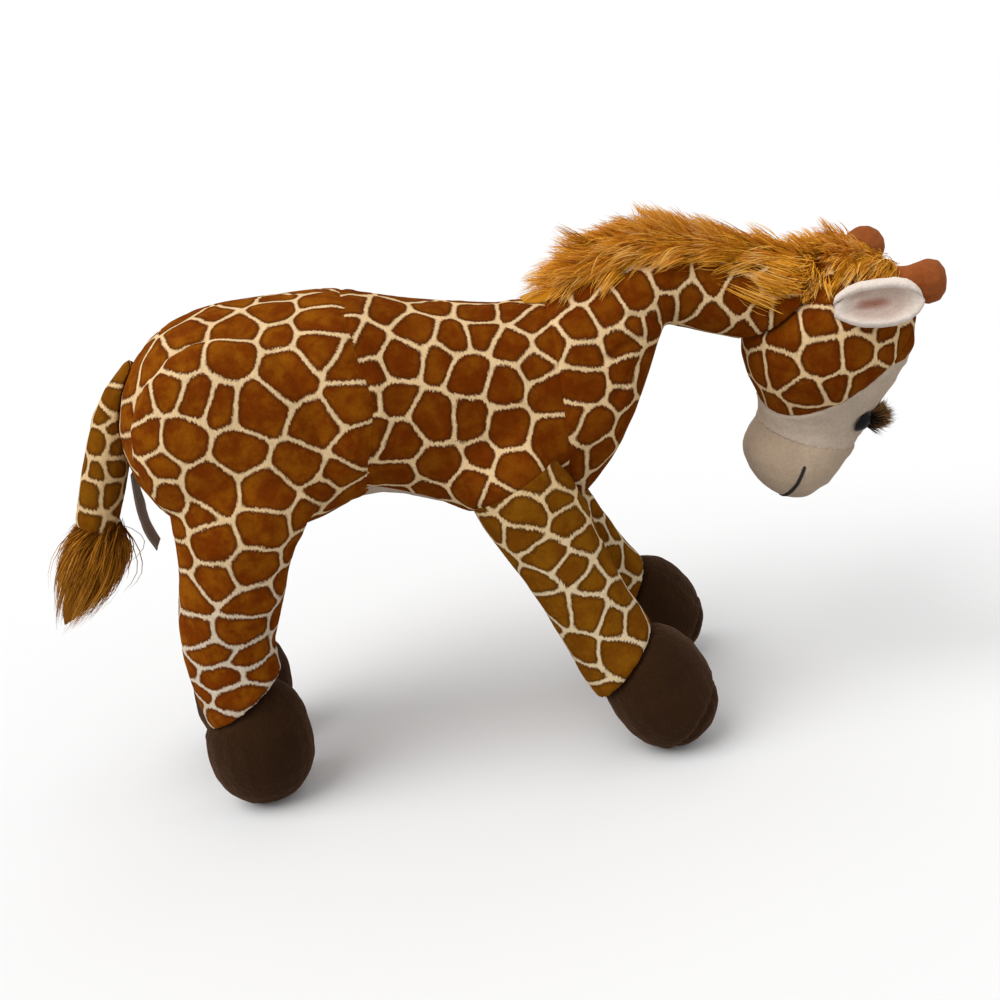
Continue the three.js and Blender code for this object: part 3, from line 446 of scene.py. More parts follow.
def fill_hips(solid):
    """Closes the hollows that the haunches turn in, to just below the skin."""
    hull = bmesh.new()
    for vert in solid.verts:
        if vert.co.x < HIP_FRONT:
            hull.verts.new(vert.co)
    made = bmesh.ops.convex_hull(hull, input=hull.verts)
    inside = [v for v in made["geom_interior"] if isinstance(v, bmesh.types.BMVert)]
    bmesh.ops.delete(hull, geom=inside, context="VERTS")
    middle = sum((v.co for v in hull.verts), Vector()) / len(hull.verts)
    bmesh.ops.scale(hull, vec=(HIP_FILL,) * 3, space=Matrix.Translation(-middle), verts=hull.verts)
    for at, way in (((0, 0, HIP_BOTTOM), (0, 0, -1)), (HIP_RISE_AT, HIP_RISE)):
        whole = hull.verts[:] + hull.edges[:] + hull.faces[:]
        bmesh.ops.bisect_plane(hull, geom=whole, plane_co=at, plane_no=way, clear_outer=True)
        bmesh.ops.holes_fill(hull, edges=[e for e in hull.edges if e.is_boundary])
    mesh = bpy.data.meshes.new("hips")
    hull.to_mesh(mesh)
    hull.free()
    solid.from_mesh(mesh)


def stitched(piece, points, width=2.6 * MM, depth=1.4 * MM, puckers=1.0 * MM):
    """Draws a finished cover in along a line of points, with puckers beside it."""
    mesh = piece.data
    places = places_of(mesh)
    away = distances(places, points)
    sunk = depth * np.exp(-((away / width) ** 2))
    sunk -= RIM_SHARE * depth * np.exp(-(((away - RIM_AT * width) / (RIM_WIDTH * width)) ** 2))
    pucker = noise_at(places, STITCH_PUCKER_SIZE, "stitches") * np.exp(-away / STITCH_PUCKER_REACH)
    set_places(mesh, places + normals_of(mesh) * (pucker * puckers - sunk)[:, None])


def behind_seam(places):
    """How far places lie behind the seam that joins the rump to the body."""
    return np.interp(places[:, 2], RUMP_SEAM_Z, RUMP_SEAM_X) - places[:, 0]


def cast(tree, starts, ways):
    """Where straight lines meet a cover."""
    hits = [tree.ray_cast(Vector(a), Vector(b)) for a, b in zip(starts, ways)]
    return np.array([hit[0] for hit in hits if hit[0] is not None])


def sew_torso(torso):
    """Snaps the mesh to the rump's seam, then sews that seam and the one along the back."""
    places = places_of(torso.data)
    behind = behind_seam(places)
    places[:, 0] += np.where(np.abs(behind) < VOXEL * SNAP, behind, 0)
    set_places(torso.data, places)
    tree = tree_over(torso)
    heights = np.arange(*RUMP_SEAM_SPAN, EDGE_STEP)
    line = np.interp(heights, RUMP_SEAM_Z, RUMP_SEAM_X)
    rows = []
    for side in (-1, 1):
        starts = np.stack([line, np.full(len(line), side * BESIDE), heights], 1)
        rows.append(cast(tree, starts, [(0, -side, 0)] * len(line)))
    stitched(torso, np.vstack(rows))
    along = np.arange(*BACK_SEAM_SPAN, EDGE_STEP)
    starts = np.stack([along, np.full(len(along), MIDDLE_Y), np.full(len(along), ABOVE)], 1)
    back = cast(tree, starts, [(0, 0, -1)] * len(along))
    stitched(torso, back, width=1.8 * MM, depth=0.9 * MM, puckers=0.5 * MM)


def fold_neck(neck):
    """Folds that fan out of the corner under the neck, on both its sides."""
    ground = tree_over(neck)
    for pixels in NECK_FOLDS_PX:
        bends = cast(ground, [CAMERA_AT] * len(pixels), [ray_of(x, y) for x, y in pixels])
        line = along_line(bends, EDGE_STEP)
        far, _ = nearest(ground, line * vec(1, -1, 1) + vec(0, 2 * MIDDLE_Y, 0))
        stitched(neck, np.vstack([line, far]), width=2.4 * MM, depth=1.5 * MM, puckers=0.2 * MM)


def along_line(points, step):
    """Even points along a line with corners."""
    points = np.asarray(points, float)
    run = np.concatenate([[0], np.cumsum(np.linalg.norm(np.diff(points, axis=0), axis=1))])
    even = np.arange(0, run[-1], step)
    return np.stack([np.interp(even, run, points[:, k]) for k in range(3)], 1)


def seat_shoulder(leg, side, bodies):
    """Sets a front leg into the body along a straight seam. The body swells out to meet the leg,
    and what lies over the seam of the leg goes under the body's skin."""
    a, b = np.array(SHOULDER_SEAM)
    length = np.linalg.norm(b - a)
    way = (b - a) / length

    def outward(tree, x, z):
        """How far out a cover reaches at a place seen from the side."""
        hit = tree.ray_cast(Vector((x, side * BESIDE, z)), Vector((0, -side, 0)))[0]
        return side * hit[1] if hit is not None else np.nan

    def over_seam(places):
        """How far along the seam places lie, as a share of it, and how far over it."""
        flat = places[:, [0, 2]] - a
        return flat @ way / length, flat @ vec(-way[1], way[0])

    leg_tree, body_tree = tree_over(leg), tree_over(*bodies)
    steps = np.linspace(0, 1, SHOULDER_STEPS)
    line = a + np.outer(steps, b - a)
    proud = np.array([outward(leg_tree, *p) - outward(body_tree, *p) for p in line])
    known = ~np.isnan(proud)
    proud = np.interp(steps, steps[known], proud[known])
    for body in bodies:
        places = places_of(body.data)
        share, over = over_seam(places)
        swell = np.interp(share, steps, proud)
        swell *= np.where(
            over > 0, smoothstep(SHOULDER_OVER, 0, over), smoothstep(-SHOULDER_UNDER, 0, over)
        )
        swell *= smoothstep(-SHOULDER_ENDS, 0, share) * smoothstep(1 + SHOULDER_ENDS, 1, share)
        swell *= side * (places[:, 1] - MIDDLE_Y) > SHOULDER_FLANK
        places[:, 1] += side * np.maximum(swell, 0)
        set_places(body.data, places)
    body_tree = tree_over(*bodies)
    places = places_of(leg.data)
    _, over = over_seam(places)
    for i in np.flatnonzero((over > 0) & (side * (places[:, 1] - MIDDLE_Y) > 0)):
        deepest = outward(body_tree, places[i, 0], places[i, 2]) - SHOULDER_DEPTH
        if deepest < side * places[i, 1]:
            share = float(smoothstep(0, SHOULDER_EDGE, over[i]))
            places[i, 1] += share * (side * deepest - places[i, 1])
    set_places(leg.data, places)


def blended(piece, joint_name, start, end):
    """Bakes a cover's place into its mesh. The two places given from the joint are reckoned but
    not used, so the cover isn't bent.
    """
    joint = JOINTS[joint_name]
    start, end = (vec(*joint["pos_m"]) + way for way in (start, end))
    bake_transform(piece)


def ring_quads(rings, count):
    """The quads between neighbours in a row of closed rings, each of `count` places."""
    return [
        (i + j, i + (j + 1) % count, i + count + (j + 1) % count, i + count + j)
        for i in range(0, (rings - 1) * count, count)
        for j in range(count)
    ]


def leaf(name, places, quads):
    """A piece of places and quads, with its faces turned outwards."""
    mesh = mesh_of(name, places, quads)
    made = bmesh.new()
    made.from_mesh(mesh)
    bmesh.ops.recalc_face_normals(made, faces=made.faces)
    made.to_mesh(mesh)
    made.free()
    return new_object(name, mesh)


# The print

class Print:
    """The cells of a printed fabric: points on its surface, each with a reach."""

    def __init__(self, lean):
        self.points = np.zeros((0, 3))
        self.reach = np.zeros(0)
        # The print's own +Z runs along a limb that leans towards +X by this angle
        self.turn = np.array(Matrix.Rotation(math.radians(lean), 3, "Y"))

    def add(self, points, reach):
        self.points = np.vstack([self.points, np.reshape(points, (-1, 3))])
        self.reach = np.concatenate([self.reach, np.ravel(reach)])

    def add_seen(self, cells, trees):
        """Cells given in pixels, put where the camera sees them on the covers."""
        origin = Vector(CAMERA_AT)
        for x, y, reach in cells:
            ray = Vector(ray_of(x, y))
            hits = [tree.ray_cast(origin, ray) for tree in trees]
            hits = [hit for hit in hits if hit[0] is not None]
            if hits:
                at = min(hits, key=lambda hit: hit[3])
                self.add([list(at[0])], [reach * at[3] / FOCAL_PX])

    def fill(self, places, squeeze, spacing):
        """Spreads cells over the places that have none near."""
        own = places @ self.turn.T
        stretch = np.stack([np.ones(len(own)), np.ones(len(own)), squeeze], 1)
        free = np.ones(len(own), bool)
        for seed in self.points @ self.turn.T:
            free &= np.linalg.norm((own - seed) * stretch, axis=1) > spacing * CELL_CLEAR
        while free.any():
            pick = rng.choice(np.flatnonzero(free))
            gap = np.linalg.norm((own - own[pick]) * stretch, axis=1)
            free &= gap > spacing * rng.uniform(*CELL_GAPS)
            free[pick] = False
            self.add(places[pick], spacing * CELL_REACH * rng.uniform(*CELL_REACHES))


def write_attribute(mesh, name, kind, domain, values):
    made = mesh.attributes.new(name, kind, domain)
    field = "vector" if kind == "FLOAT_VECTOR" else "value"
    made.data.foreach_set(field, np.asarray(values, np.float32).ravel())


def write_places(piece):
    """Keeps each vertex's place at rest for the materials."""
    write_attribute(piece.data, "rest", "FLOAT_VECTOR", "POINT", places_of(piece.data))


def face_middles(mesh):
    return read(mesh.polygons, "center").astype(float)


def write_print(piece, prints, squeeze_of, panel=None):
    """Stores on each face its three nearest cells, and on each vertex its place in the print.
    `panel` gives each face's index in the prints, where there are several."""
    mesh = piece.data
    places = places_of(mesh)
    middles = face_middles(mesh)
    panel = np.zeros(len(middles), int) if panel is None else panel
    cells = np.zeros((3, len(middles), 3))
    weights = np.zeros((len(middles), 3))
    for i, own in enumerate(prints):
        mine = np.flatnonzero(panel == i)
        seeds = own.points @ own.turn.T
        here = middles[mine] @ own.turn.T
        stretch = np.stack([np.ones(len(mine)), np.ones(len(mine)), squeeze_of(middles[mine])], 1)
        gap = (here[:, None] - seeds[None]) * stretch[:, None]
        power = (gap**2).sum(2) - own.reach[None] ** 2
        order = np.argsort(power, axis=1)[:, :3]
        for k in range(3):
            cells[k, mine] = seeds[order[:, k]]
            weights[mine, k] = own.reach[order[:, k]] ** 2
    for k, name in enumerate(("cell_a", "cell_b", "cell_c")):
        write_attribute(mesh, name, "FLOAT_VECTOR", "FACE", cells[k])
    write_attribute(mesh, "cell_reach", "FLOAT_VECTOR", "FACE", weights)
    write_attribute(mesh, "print", "FLOAT_VECTOR", "POINT", places @ prints[0].turn.T)
    write_places(piece)
    write_attribute(mesh, "squeeze", "FLOAT", "POINT", squeeze_of(places))


def write_bare(piece, depth):
    """Keeps how deep each vertex lies in a panel that isn't printed."""
    write_attribute(piece.data, "bare", "FLOAT", "POINT", np.maximum(depth, 0))


# Shaders

class Nodes:
    """A short way to write a material's nodes."""

    def __init__(self, name):
        self.material = bpy.data.materials.new(name)
        self.material.use_nodes = True
        self.tree = self.material.node_tree
        self.shader = self.tree.nodes["Principled BSDF"]

    def feed(self, socket, value):
        if isinstance(value, bpy.types.NodeSocket):
            self.tree.links.new(value, socket)
        elif value is not None:
            socket.default_value = value

    def add(self, kind, *values, **settings):
        """A new node with its settings, and with its first inputs fed."""
        node = self.tree.nodes.new("ShaderNode" + kind)
        for name, value in settings.items():
            setattr(node, name, value)
        for socket, value in zip(node.inputs, values):
            self.feed(socket, value)
        return node

    def math(self, operation, *values):
        return self.add("Math", *values, operation=operation).outputs[0]

    def vector(self, operation, *values, scale=None):
        node = self.add("VectorMath", *values, operation=operation)
        if scale is not None:
            self.feed(node.inputs["Scale"], scale)
        alone = operation in ("LENGTH", "DOT_PRODUCT")
        return node.outputs["Value" if alone else "Vector"]

    def attribute(self, name, output="Vector"):
        return self.add("Attribute", attribute_name=name).outputs[output]

    def noise(self, place, scale, detail=2.0, rough=0.5, output="Fac"):
        return self.add("TexNoise", place, None, scale, detail, rough).outputs[output]

    def ramp(self, value, low, high, start=0.0, end=1.0):
        ends = (low, high, start, end)
        return self.add("MapRange", value, *ends, interpolation_type="SMOOTHSTEP").outputs[0]

    def mix(self, share, a, b):
        node = self.add("Mix", share, data_type="RGBA", clamp_factor=True)
        self.feed(node.inputs[6], a)
        self.feed(node.inputs[7], b)
        return node.outputs[2]

    def combine(self, x, y, z):
        return self.add("CombineXYZ", x, y, z).outputs[0]

    def separate(self, value):
        return self.add("SeparateXYZ", value).outputs

    def bump(self, height, distance, strength):
        node = self.add("Bump", strength, distance)
        self.feed(node.inputs["Height"], height)
        return node.outputs[0]

    def set(self, **values):
        for name, value in values.items():
            self.feed(self.shader.inputs[name.replace("_", " ")], value)


def color(hexed):
    """A written colour as linear numbers."""
    channels = [int(hexed[i:i + 2], 16) / 255 for i in (0, 2, 4)]
    linear = [c / 12.92 if c <= 0.04045 else ((c + 0.055) / 1.055) ** 2.4 for c in channels]
    return (*linear, 1.0)


# The pile lies down the body, so its hairs are long that way
PILE_STRETCH = (1, 1, 0.35)
PILE_STRAY = (2.2 * MM, 2.2 * MM, 6.5 * MM)

# The sizes of its tufts and hairs in lengths of the pile, and those of worn and dyed patches
TUFT_SIZE = 2.2
HAIR_SIZE = 0.7
WORN_SIZE = 22 * MM
DYE_SIZE = 30 * MM

# How much light and dark each of them brings
LEAST_SHADE = 0.45
TUFT_SHADE = 0.42
HAIR_SHADE = 0.34
WORN_SHADE = 0.34

# The print: how it sways, how round its corners are, where its ink starts and its dark edge
# ends, where a bare panel starts, and the heights over which its lines change colour
SWAY_SIZE = 26 * MM
SWAY = 7.5 * MM
FRAY_SIZE = 1.3 * MM
CORNER = 6 * MM
INK_EDGE = (0.5 * MM, 2.1 * MM)
DARK_EDGE = (1.6 * MM, 5.0 * MM)
BARE_EDGE = (1.0 * MM, 1.8 * MM)
INK_PATCH = 15 * MM
LOW_LINES = (0.13, 0.24)


def plush(nodes, place, base, pile=1.4 * MM, depth=0.7 * MM, sheen=0.3):
    """The pile of a plush: soft tufts in the base colour's light and dark, and a sheen."""
    tufts = nodes.noise(place, 1 / (pile * TUFT_SIZE), 3.0, 0.65)
    patches = nodes.noise(place, 1 / WORN_SIZE, 3.0, 0.6)
    lying = nodes.vector("MULTIPLY", place, PILE_STRETCH)
    hairs = nodes.noise(lying, 1 / (pile * HAIR_SIZE), 2.0, 0.7)
    shade = nodes.math("MULTIPLY", patches, WORN_SHADE)
    shade = nodes.math("MULTIPLY_ADD", tufts, TUFT_SHADE, shade)
    shade = nodes.math("MULTIPLY_ADD", hairs, HAIR_SHADE, shade)
    shade = nodes.math("ADD", shade, LEAST_SHADE)
    height = nodes.math("MULTIPLY_ADD", hairs, 0.5, tufts)
    nodes.set(
        Base_Color=nodes.vector("SCALE", base, scale=shade),
        Roughness=0.92,
        Sheen_Weight=sheen,
        Sheen_Roughness=0.45,
        Specular_IOR_Level=0.05,
        Normal=nodes.bump(height, depth, 0.85),
    )


CREAM_TONES = ("cbb9a6", "beac99")


def printed_plush(name, cell, edge, line, low_line, sheen_tint, depth=0.7 * MM):
    """Plush printed with cells between pale lines, read from what write_print stored."""
    n = Nodes(name)
    rest = n.attribute("rest")
    squeeze = n.attribute("squeeze", "Fac")
    sway = n.noise(rest, 1 / SWAY_SIZE, 2.0, 0.5, "Color")
    fray = n.noise(n.vector("MULTIPLY", rest, PILE_STRETCH), 1 / FRAY_SIZE, 3.0, 0.7, "Color")
    place = n.attribute("print")
    for swing, size in ((sway, (SWAY,) * 3), (fray, PILE_STRAY)):
        off = n.vector("SUBTRACT", swing, (0.5, 0.5, 0.5))
        place = n.vector("ADD", place, n.vector("MULTIPLY", off, size))
    seeds = [n.attribute(f"cell_{k}") for k in "abc"]
    reach = n.separate(n.attribute("cell_reach"))
    stretch = n.combine(1.0, 1.0, squeeze)
    power = []
    for seed, own in zip(seeds, reach):
        gap = n.vector("MULTIPLY", n.vector("SUBTRACT", place, seed), stretch)
        power.append(n.math("SUBTRACT", n.vector("DOT_PRODUCT", gap, gap), own))

    def border(i, j):
        """How far a place lies on cell i's side of its border with cell j."""
        run = n.vector("MULTIPLY", n.vector("SUBTRACT", seeds[j], seeds[i]), stretch)
        run = n.vector("LENGTH", n.vector("MULTIPLY", run, stretch))
        run = n.math("MAXIMUM", n.math("MULTIPLY", run, 2.0), 0.1 * MM)
        return n.math("DIVIDE", n.math("SUBTRACT", power[j], power[i]), run)

    ab, ac, bc = border(0, 1), border(0, 2), border(1, 2)
    minus = {key: n.math("MULTIPLY", key, -1.0) for key in (ab, ac, bc)}
    inside = [
        n.math("SMOOTH_MIN", ab, ac, CORNER),
        n.math("SMOOTH_MIN", minus[ab], bc, CORNER),
        n.math("SMOOTH_MIN", minus[ac], minus[bc], CORNER),
    ]
    within = n.math("MAXIMUM", n.math("MAXIMUM", inside[0], inside[1]), inside[2])
    inked = n.ramp(within, *INK_EDGE)
    deep = n.ramp(within, *DARK_EDGE)
    patches = n.noise(rest, 1 / INK_PATCH, 3.0, 0.6)
    cell_tone = n.mix(n.ramp(patches, 0.35, 0.7), *map(color, cell))
    ink = n.mix(deep, color(edge), cell_tone)
    height = n.separate(rest)[2]
    ground = n.mix(n.ramp(height, *LOW_LINES), color(low_line), color(line))
    frayed = n.math("MULTIPLY", n.vector("LENGTH", off), MM)
    bare = n.ramp(n.math("ADD", n.attribute("bare", "Fac"), frayed), *BARE_EDGE)
    plain = n.mix(n.noise(rest, 1 / DYE_SIZE, 2.0), *map(color, CREAM_TONES))
    tone = n.mix(bare, n.mix(inked, ground, ink), plain)
    plush(n, rest, tone, depth=depth, sheen=0.06)
    n.set(Sheen_Tint=color(sheen_tint), Specular_IOR_Level=0.0)
    return n.material


def plain_plush(name, base, pile=1.4 * MM, sheen=0.3, sheen_tint="ffffff", depth=0.5 * MM,
                blush=None):
    """Plush of one colour. A second colour, on the ear's lining its pink and painted shade, shows
    where the cover's own attribute says.
    """
    n = Nodes(name)
    tone = n.mix(n.noise(n.attribute("rest"), 1 / DYE_SIZE, 2.0), *map(color, base))
    # The second colour is mixed in by the attribute: on the lining, pink with painted shade
    if blush:
        tone = n.mix(n.attribute("blush", "Fac"), tone, color(blush))
    plush(n, n.attribute("rest"), tone, pile=pile, depth=depth, sheen=sheen)
    n.set(Sheen_Tint=color(sheen_tint))
    return n.material


def thread(name, tones, pitch, rough):
    """Satin stitch: fine shiny threads side by side."""
    n = Nodes(name)
    rest = n.attribute("rest")
    strand = n.noise(rest, 1 / (pitch * 0.8), 2.0, 0.6)
    n.set(
        Base_Color=n.mix(n.ramp(strand, 0.35, 0.65), *map(color, tones)),
        Roughness=rough,
        Specular_IOR_Level=0.4,
        Normal=n.bump(strand, pitch * 0.4, 0.7),
    )
    return n.material


RIBBON_WARP = 3.4 * MM
RIBBON_RIB = 0.9 * MM
RIBBON_WORN = 4 * MM


def ribbon(name, tones):
    """A woven tape, with ribs across and a few darker warps along it."""
    n = Nodes(name)
    rest = n.attribute("rest")
    _, across, along = n.separate(rest)
    warps = n.math("SINE", n.math("MULTIPLY", across, 2 * math.pi / RIBBON_WARP))
    ribs = n.math("SINE", n.math("MULTIPLY", along, 2 * math.pi / RIBBON_RIB))
    worn = n.noise(rest, 1 / RIBBON_WORN, 3.0)
    share = n.math("MULTIPLY_ADD", warps, 0.3, n.math("MULTIPLY_ADD", worn, 0.5, 0.25))
    n.set(
        Base_Color=n.mix(share, *map(color, tones)),
        Roughness=0.62,
        Sheen_Weight=0.2,
        Normal=n.bump(n.math("MULTIPLY_ADD", ribs, 0.6, warps), 0.12 * MM, 0.8),
    )
    return n.material


SMEAR_SIZE = 3 * MM
GRAIN_SIZE = 0.8 * MM
GRAIN_DEPTH = 0.03 * MM


def gloss(name):
    """Black glossy plastic with faint smears."""
    n = Nodes(name)
    smear = n.noise(n.attribute("rest"), 1 / SMEAR_SIZE, 3.0)
    n.set(
        Base_Color=n.mix(smear, color("050505"), color("0e0c0b")),
        Roughness=n.ramp(smear, 0.3, 0.8, 0.05, 0.12),
        Specular_IOR_Level=0.18,
    )
    return n.material


def moulded(name):
    """Pale moulded plastic with a faint grain."""
    n = Nodes(name)
    coordinates = n.tree.nodes.new("ShaderNodeTexCoord").outputs["Object"]
    grain = n.noise(coordinates, 1 / GRAIN_SIZE, 3.0, 0.6)
    n.set(
        Base_Color=n.mix(grain, color("d8d4ca"), color("c6c1b5")),
        Roughness=n.ramp(grain, 0.3, 0.7, 0.38, 0.5),
        Normal=n.bump(grain, GRAIN_DEPTH, 0.5),
    )
    return n.material


def dress(piece, material, body=None):
    """Gives a piece its material, its places at rest where it has none, and the body that it rides
    on.
    """
    piece.data.materials.clear()
    piece.data.materials.append(material)
    if "rest" not in piece.data.attributes:
        write_places(piece)
    if body:
        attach(piece, body)


# Hair

FUR_TONES = ("9c6810", "c08014", "de9820", "eea834", "f4b84e", "f8ca74")
TUFT_TONES = ("6e3f08", "8a540c", "a86a14", "bd7c22", "cc8e36", "d9a656")
LID_TONES = ("4a2e16", "634120", "7c552d", "936a3c", "a67c4e", "b58d62")
LASH_TONES = ("0c0908", "14100e", "1c1614", "14100e", "1c1614", "241d1a")

# A strand: its points, its width and tone from root to tip, and how strands differ
STRAND_POINTS = 7
STRAND_TAPER = (0.85, 1, 1, 0.95, 0.8, 0.55, 0.06)
STRAND_TONES = (-2, -1, 0, 0, 1, 1)
STRAND_WIDTHS = (0.7, 1.25)
STRAND_LENGTHS = (0.7, 1)
STRAND_CURL = 0.16
BACKING_TONE = 1

# Locks: how their tone changes over the fur, from lock to lock and from strand to strand
LOCK_PATCH = 14 * MM
LOCK_PATCH_TONES = 1.6
LOCK_TONES = 0.7
HAIR_TONES = 0.5


def quad_mesh(name, places, quads):
    mesh = bpy.data.meshes.new(name)
    mesh.vertices.add(len(places))
    mesh.vertices.foreach_set("co", np.asarray(places, np.float32).ravel())
    mesh.loops.add(len(quads) * 4)
    mesh.loops.foreach_set("vertex_index", np.asarray(quads, np.int32).ravel())
    mesh.polygons.add(len(quads))
    mesh.polygons.foreach_set("loop_start", np.arange(0, len(quads) * 4, 4, dtype=np.int32))
    mesh.update(calc_edges=True)
    return mesh


def sampled(node, count):
    """Places spread evenly over a CAD solid's skin, with their outward directions."""
    mesh = NODES[node].data
    mesh.calc_loop_triangles()
    corners = read(mesh.loop_triangles, "vertices", 3, np.int32)
    a, b, c = places_of(mesh)[corners].transpose(1, 0, 2)
    across = np.cross(b - a, c - a)
    area = np.linalg.norm(across, axis=1)
    pick = rng.choice(len(area), count, p=area / area.sum())
    u, v = rng.random((2, count, 1))
    u, v = np.where(u + v > 1, 1 - u, u), np.where(u + v > 1, 1 - v, v)
    return a[pick] + (b - a)[pick] * u + (c - a)[pick] * v, unit(across[pick])


def nearest(tree, places):
    """The nearest places on a cover, and the directions it faces there."""
    found = [tree.find_nearest(Vector(p)) for p in places]
    return np.array([hit[0] for hit in found]), np.array([hit[1] for hit in found])


def arcs(roots, middles, tips):
    """One bent line for each root and tip."""
    share = np.linspace(0, 1, STRAND_POINTS)[None, :, None]
    return (
        roots[:, None] * (1 - share) ** 2
        + middles[:, None] * 2 * share * (1 - share)
        + tips[:, None] * share**2
    )


def drape(ground, locks, middle, least):
    """Moves what lies inside a cover out to its side, along the line across the body."""
    for lock in locks:
        side = 1 if lock[-1, 1] > middle else -1
        for i in range(1, STRAND_POINTS):
            x, y, z = lock[i]
            hit = ground.ray_cast(Vector((x, side * BESIDE, z)), Vector((0, -side, 0)))[0]
            if hit is not None:
                lock[i, 1] = side * max(side * y, side * hit[1] + least * min(1, i / 2))
    return locks


def strands(locks, count, spread, gather=0.3, stray=1.2 * MM):
    """Hairs round the middle line of each lock, which draw together towards its tip."""
    paths = np.repeat(locks, count, axis=0)
    share = np.linspace(0, 1, STRAND_POINTS)[None, :, None]
    off = rng.normal(size=(len(paths), 1, 3)) * spread
    away = off * gather + rng.normal(size=off.shape) * stray
    curl = np.cross(paths[:, -1] - paths[:, 0], rng.normal(size=(len(paths), 3)))[:, None]
    curl = curl * rng.normal(0, STRAND_CURL, (len(paths), 1, 1))
    paths = paths + off * (1 - share) + away * share**1.5 + curl * share * (1 - share)
    reach = rng.uniform(*STRAND_LENGTHS, (len(paths), 1)) * share[0].T * (STRAND_POINTS - 1)
    below = np.minimum(reach.astype(int), STRAND_POINTS - 2)
    part = (reach - below)[..., None]
    rows = np.arange(len(paths))[:, None]
    return paths[rows, below] * (1 - part) + paths[rows, below + 1] * part


def hair(name, paths, tone, width, colours, base=None):
    """Ribbons along the paths, darker at the root and paler at the tip, over a base mesh."""
    count = len(paths)
    along = np.gradient(paths, axis=1)
    side = unit(np.cross(along, rng.normal(size=(count, 1, 3))))
    half = np.array(STRAND_TAPER)[None, :, None] * width / 2
    half = half * rng.uniform(*STRAND_WIDTHS, (count, 1, 1))
    places = np.stack([paths - side * half, paths + side * half], 2).reshape(-1, 3)
    first = (np.arange(count) * STRAND_POINTS * 2)[:, None]
    first = first + np.arange(STRAND_POINTS - 1)[None] * 2
    quads = np.stack([first, first + 1, first + 3, first + 2], -1).reshape(-1, 4)
    tone = np.rint(tone[:, None] + np.array(STRAND_TONES)[None])
    slots = np.clip(tone, 0, len(colours) - 1).ravel().astype(int)
    if base is not None:
        base_places, base_quads = base
        quads = np.vstack([quads, base_quads + len(places)])
        slots = np.concatenate([slots, np.full(len(base_quads), BACKING_TONE)])
        places = np.vstack([places, base_places])
    mesh = quad_mesh(name, places, quads)
    mesh.polygons.foreach_set("material_index", slots)
    for i, hexed in enumerate(colours):
        mesh.materials.append(hair_tone(f"{name} {i}", hexed))
    mesh.shade_smooth()
    return new_object(name, mesh)


def hair_tone(name, hexed):
    n = Nodes(name)
    n.set(Base_Color=color(hexed), Roughness=0.7, Specular_IOR_Level=0.1)
    return n.material


def backing(node):
    """A fur's CAD solid as even places and quads."""
    mesh = remeshed(node + "_backing", solid_of([node]), BACKING_VOXEL)
    return places_of(mesh), np.array([p.vertices for p in mesh.polygons if len(p.vertices) == 4])


def underlay(node, tree, share):
    """A fur's backing, drawn in towards the cover that it grows on."""
    places, quads = backing(node)
    foot, _ = nearest(tree, places)
    return foot + (places - foot) * share, quads


def hair_tones(locks, count, low=1.2, high=4.2):
    """The tone of each strand: neighbouring locks are of like tone."""
    tone = noise_at(locks[:, 0], LOCK_PATCH, "locks") * LOCK_PATCH_TONES
    tone = tone + rng.normal(0, LOCK_TONES, len(locks))
    tone = np.repeat(np.clip((low + high) / 2 + tone, low, high), count)
    return tone + rng.normal(0, HAIR_TONES, len(tone))


# Ears
EAR_LENGTH = 61 * MM
EAR_HALF_WIDTH = 17 * MM
EAR_HEART = 0.46 * EAR_LENGTH
EAR_CUP = 9 * MM
EAR_SINK = 2.3 * MM
EAR_BEHIND = 4 * MM
EAR_OPEN = {"right": 16, "left": 12}

# Its back is drawn in by this share, its cloth this thick, and its rim rolled from this share on
EAR_INSET = 0.965
EAR_THICK = 1.2 * MM
EAR_ROLL = 1.7 * MM
EAR_ROLL_SPAN = (0.6, 0.86)
LINING_PROUD = 0.45 * MM
LINING_RINGS = 5
EAR_WAVE = 0.7 * MM
EAR_WAVE_SIZE = 11 * MM

# The fold at its root: where across it, how wide, how high, and along which share of the ear
EAR_FOLD_AT = 3 * MM
EAR_FOLD_WIDTH = 3.5 * MM
EAR_FOLD_HEIGHT = 5.5 * MM
EAR_FOLD_SPAN = (0.6, 0.15)

# The fold's tint, pink and painted shade: where across the ear, how wide, along which shares of it
FOLD_TINT_AT = 1 * MM
FOLD_TINT_WIDTH = 5 * MM
FOLD_TINT_SPANS = ((0.72, 0.42), (0.05, 0.3))
# Painted shade in the ear's hollow: over which rings it deepens, and how strong it is
HOLLOW_SPAN = (0.8, 0.5)
HOLLOW_PAINTED_SHADE = 0.35

# The ear's upper half is cut wider, and its edge curls over
EAR_LOW_WIDTH = 17 * MM
EAR_HIGH_WIDTH = 27 * MM
EAR_LOW_BEND = math.radians(38)
EAR_RISE = math.radians(26)
EAR_CURL = math.radians(165)
EAR_OUTLINE = (
    (0, 0.34), (0.06, 0.5), (0.16, 0.72), (0.32, 0.93), (0.5, 1), (0.68, 0.97), (0.83, 0.8),
    (0.93, 0.53), (0.985, 0.22), (1, 0.02),
)
EAR_LEAST_WIDTH = 0.12
EAR_ROUND = 96
EAR_RINGS = 26
EAR_PROFILE_STEPS = 80


def ear_frame(side):
    """Root of an ear, its direction to the tip, across, and out of its hollow."""
    root = vec(*JOINTS[f"ear_{side}_swing"]["pos_m"])
    outer = places_of(NODES[f"ear_{side}"].data)
    inner = places_of(NODES[f"ear_lining_{side}"].data)
    along = unit(outer[np.linalg.norm(outer - root, axis=1).argmax()] - root)
    out = inner.mean(0) - outer.mean(0)
    out = unit(out - along * (out @ along))
    across = np.cross(out, along)
    if across[2] < 0:
        across = -across
    turn = math.radians(EAR_OPEN[side])
    out, across = (
        out * math.cos(turn) + across * math.sin(turn),
        across * math.cos(turn) - out * math.sin(turn),
    )
    return root, along, across, out


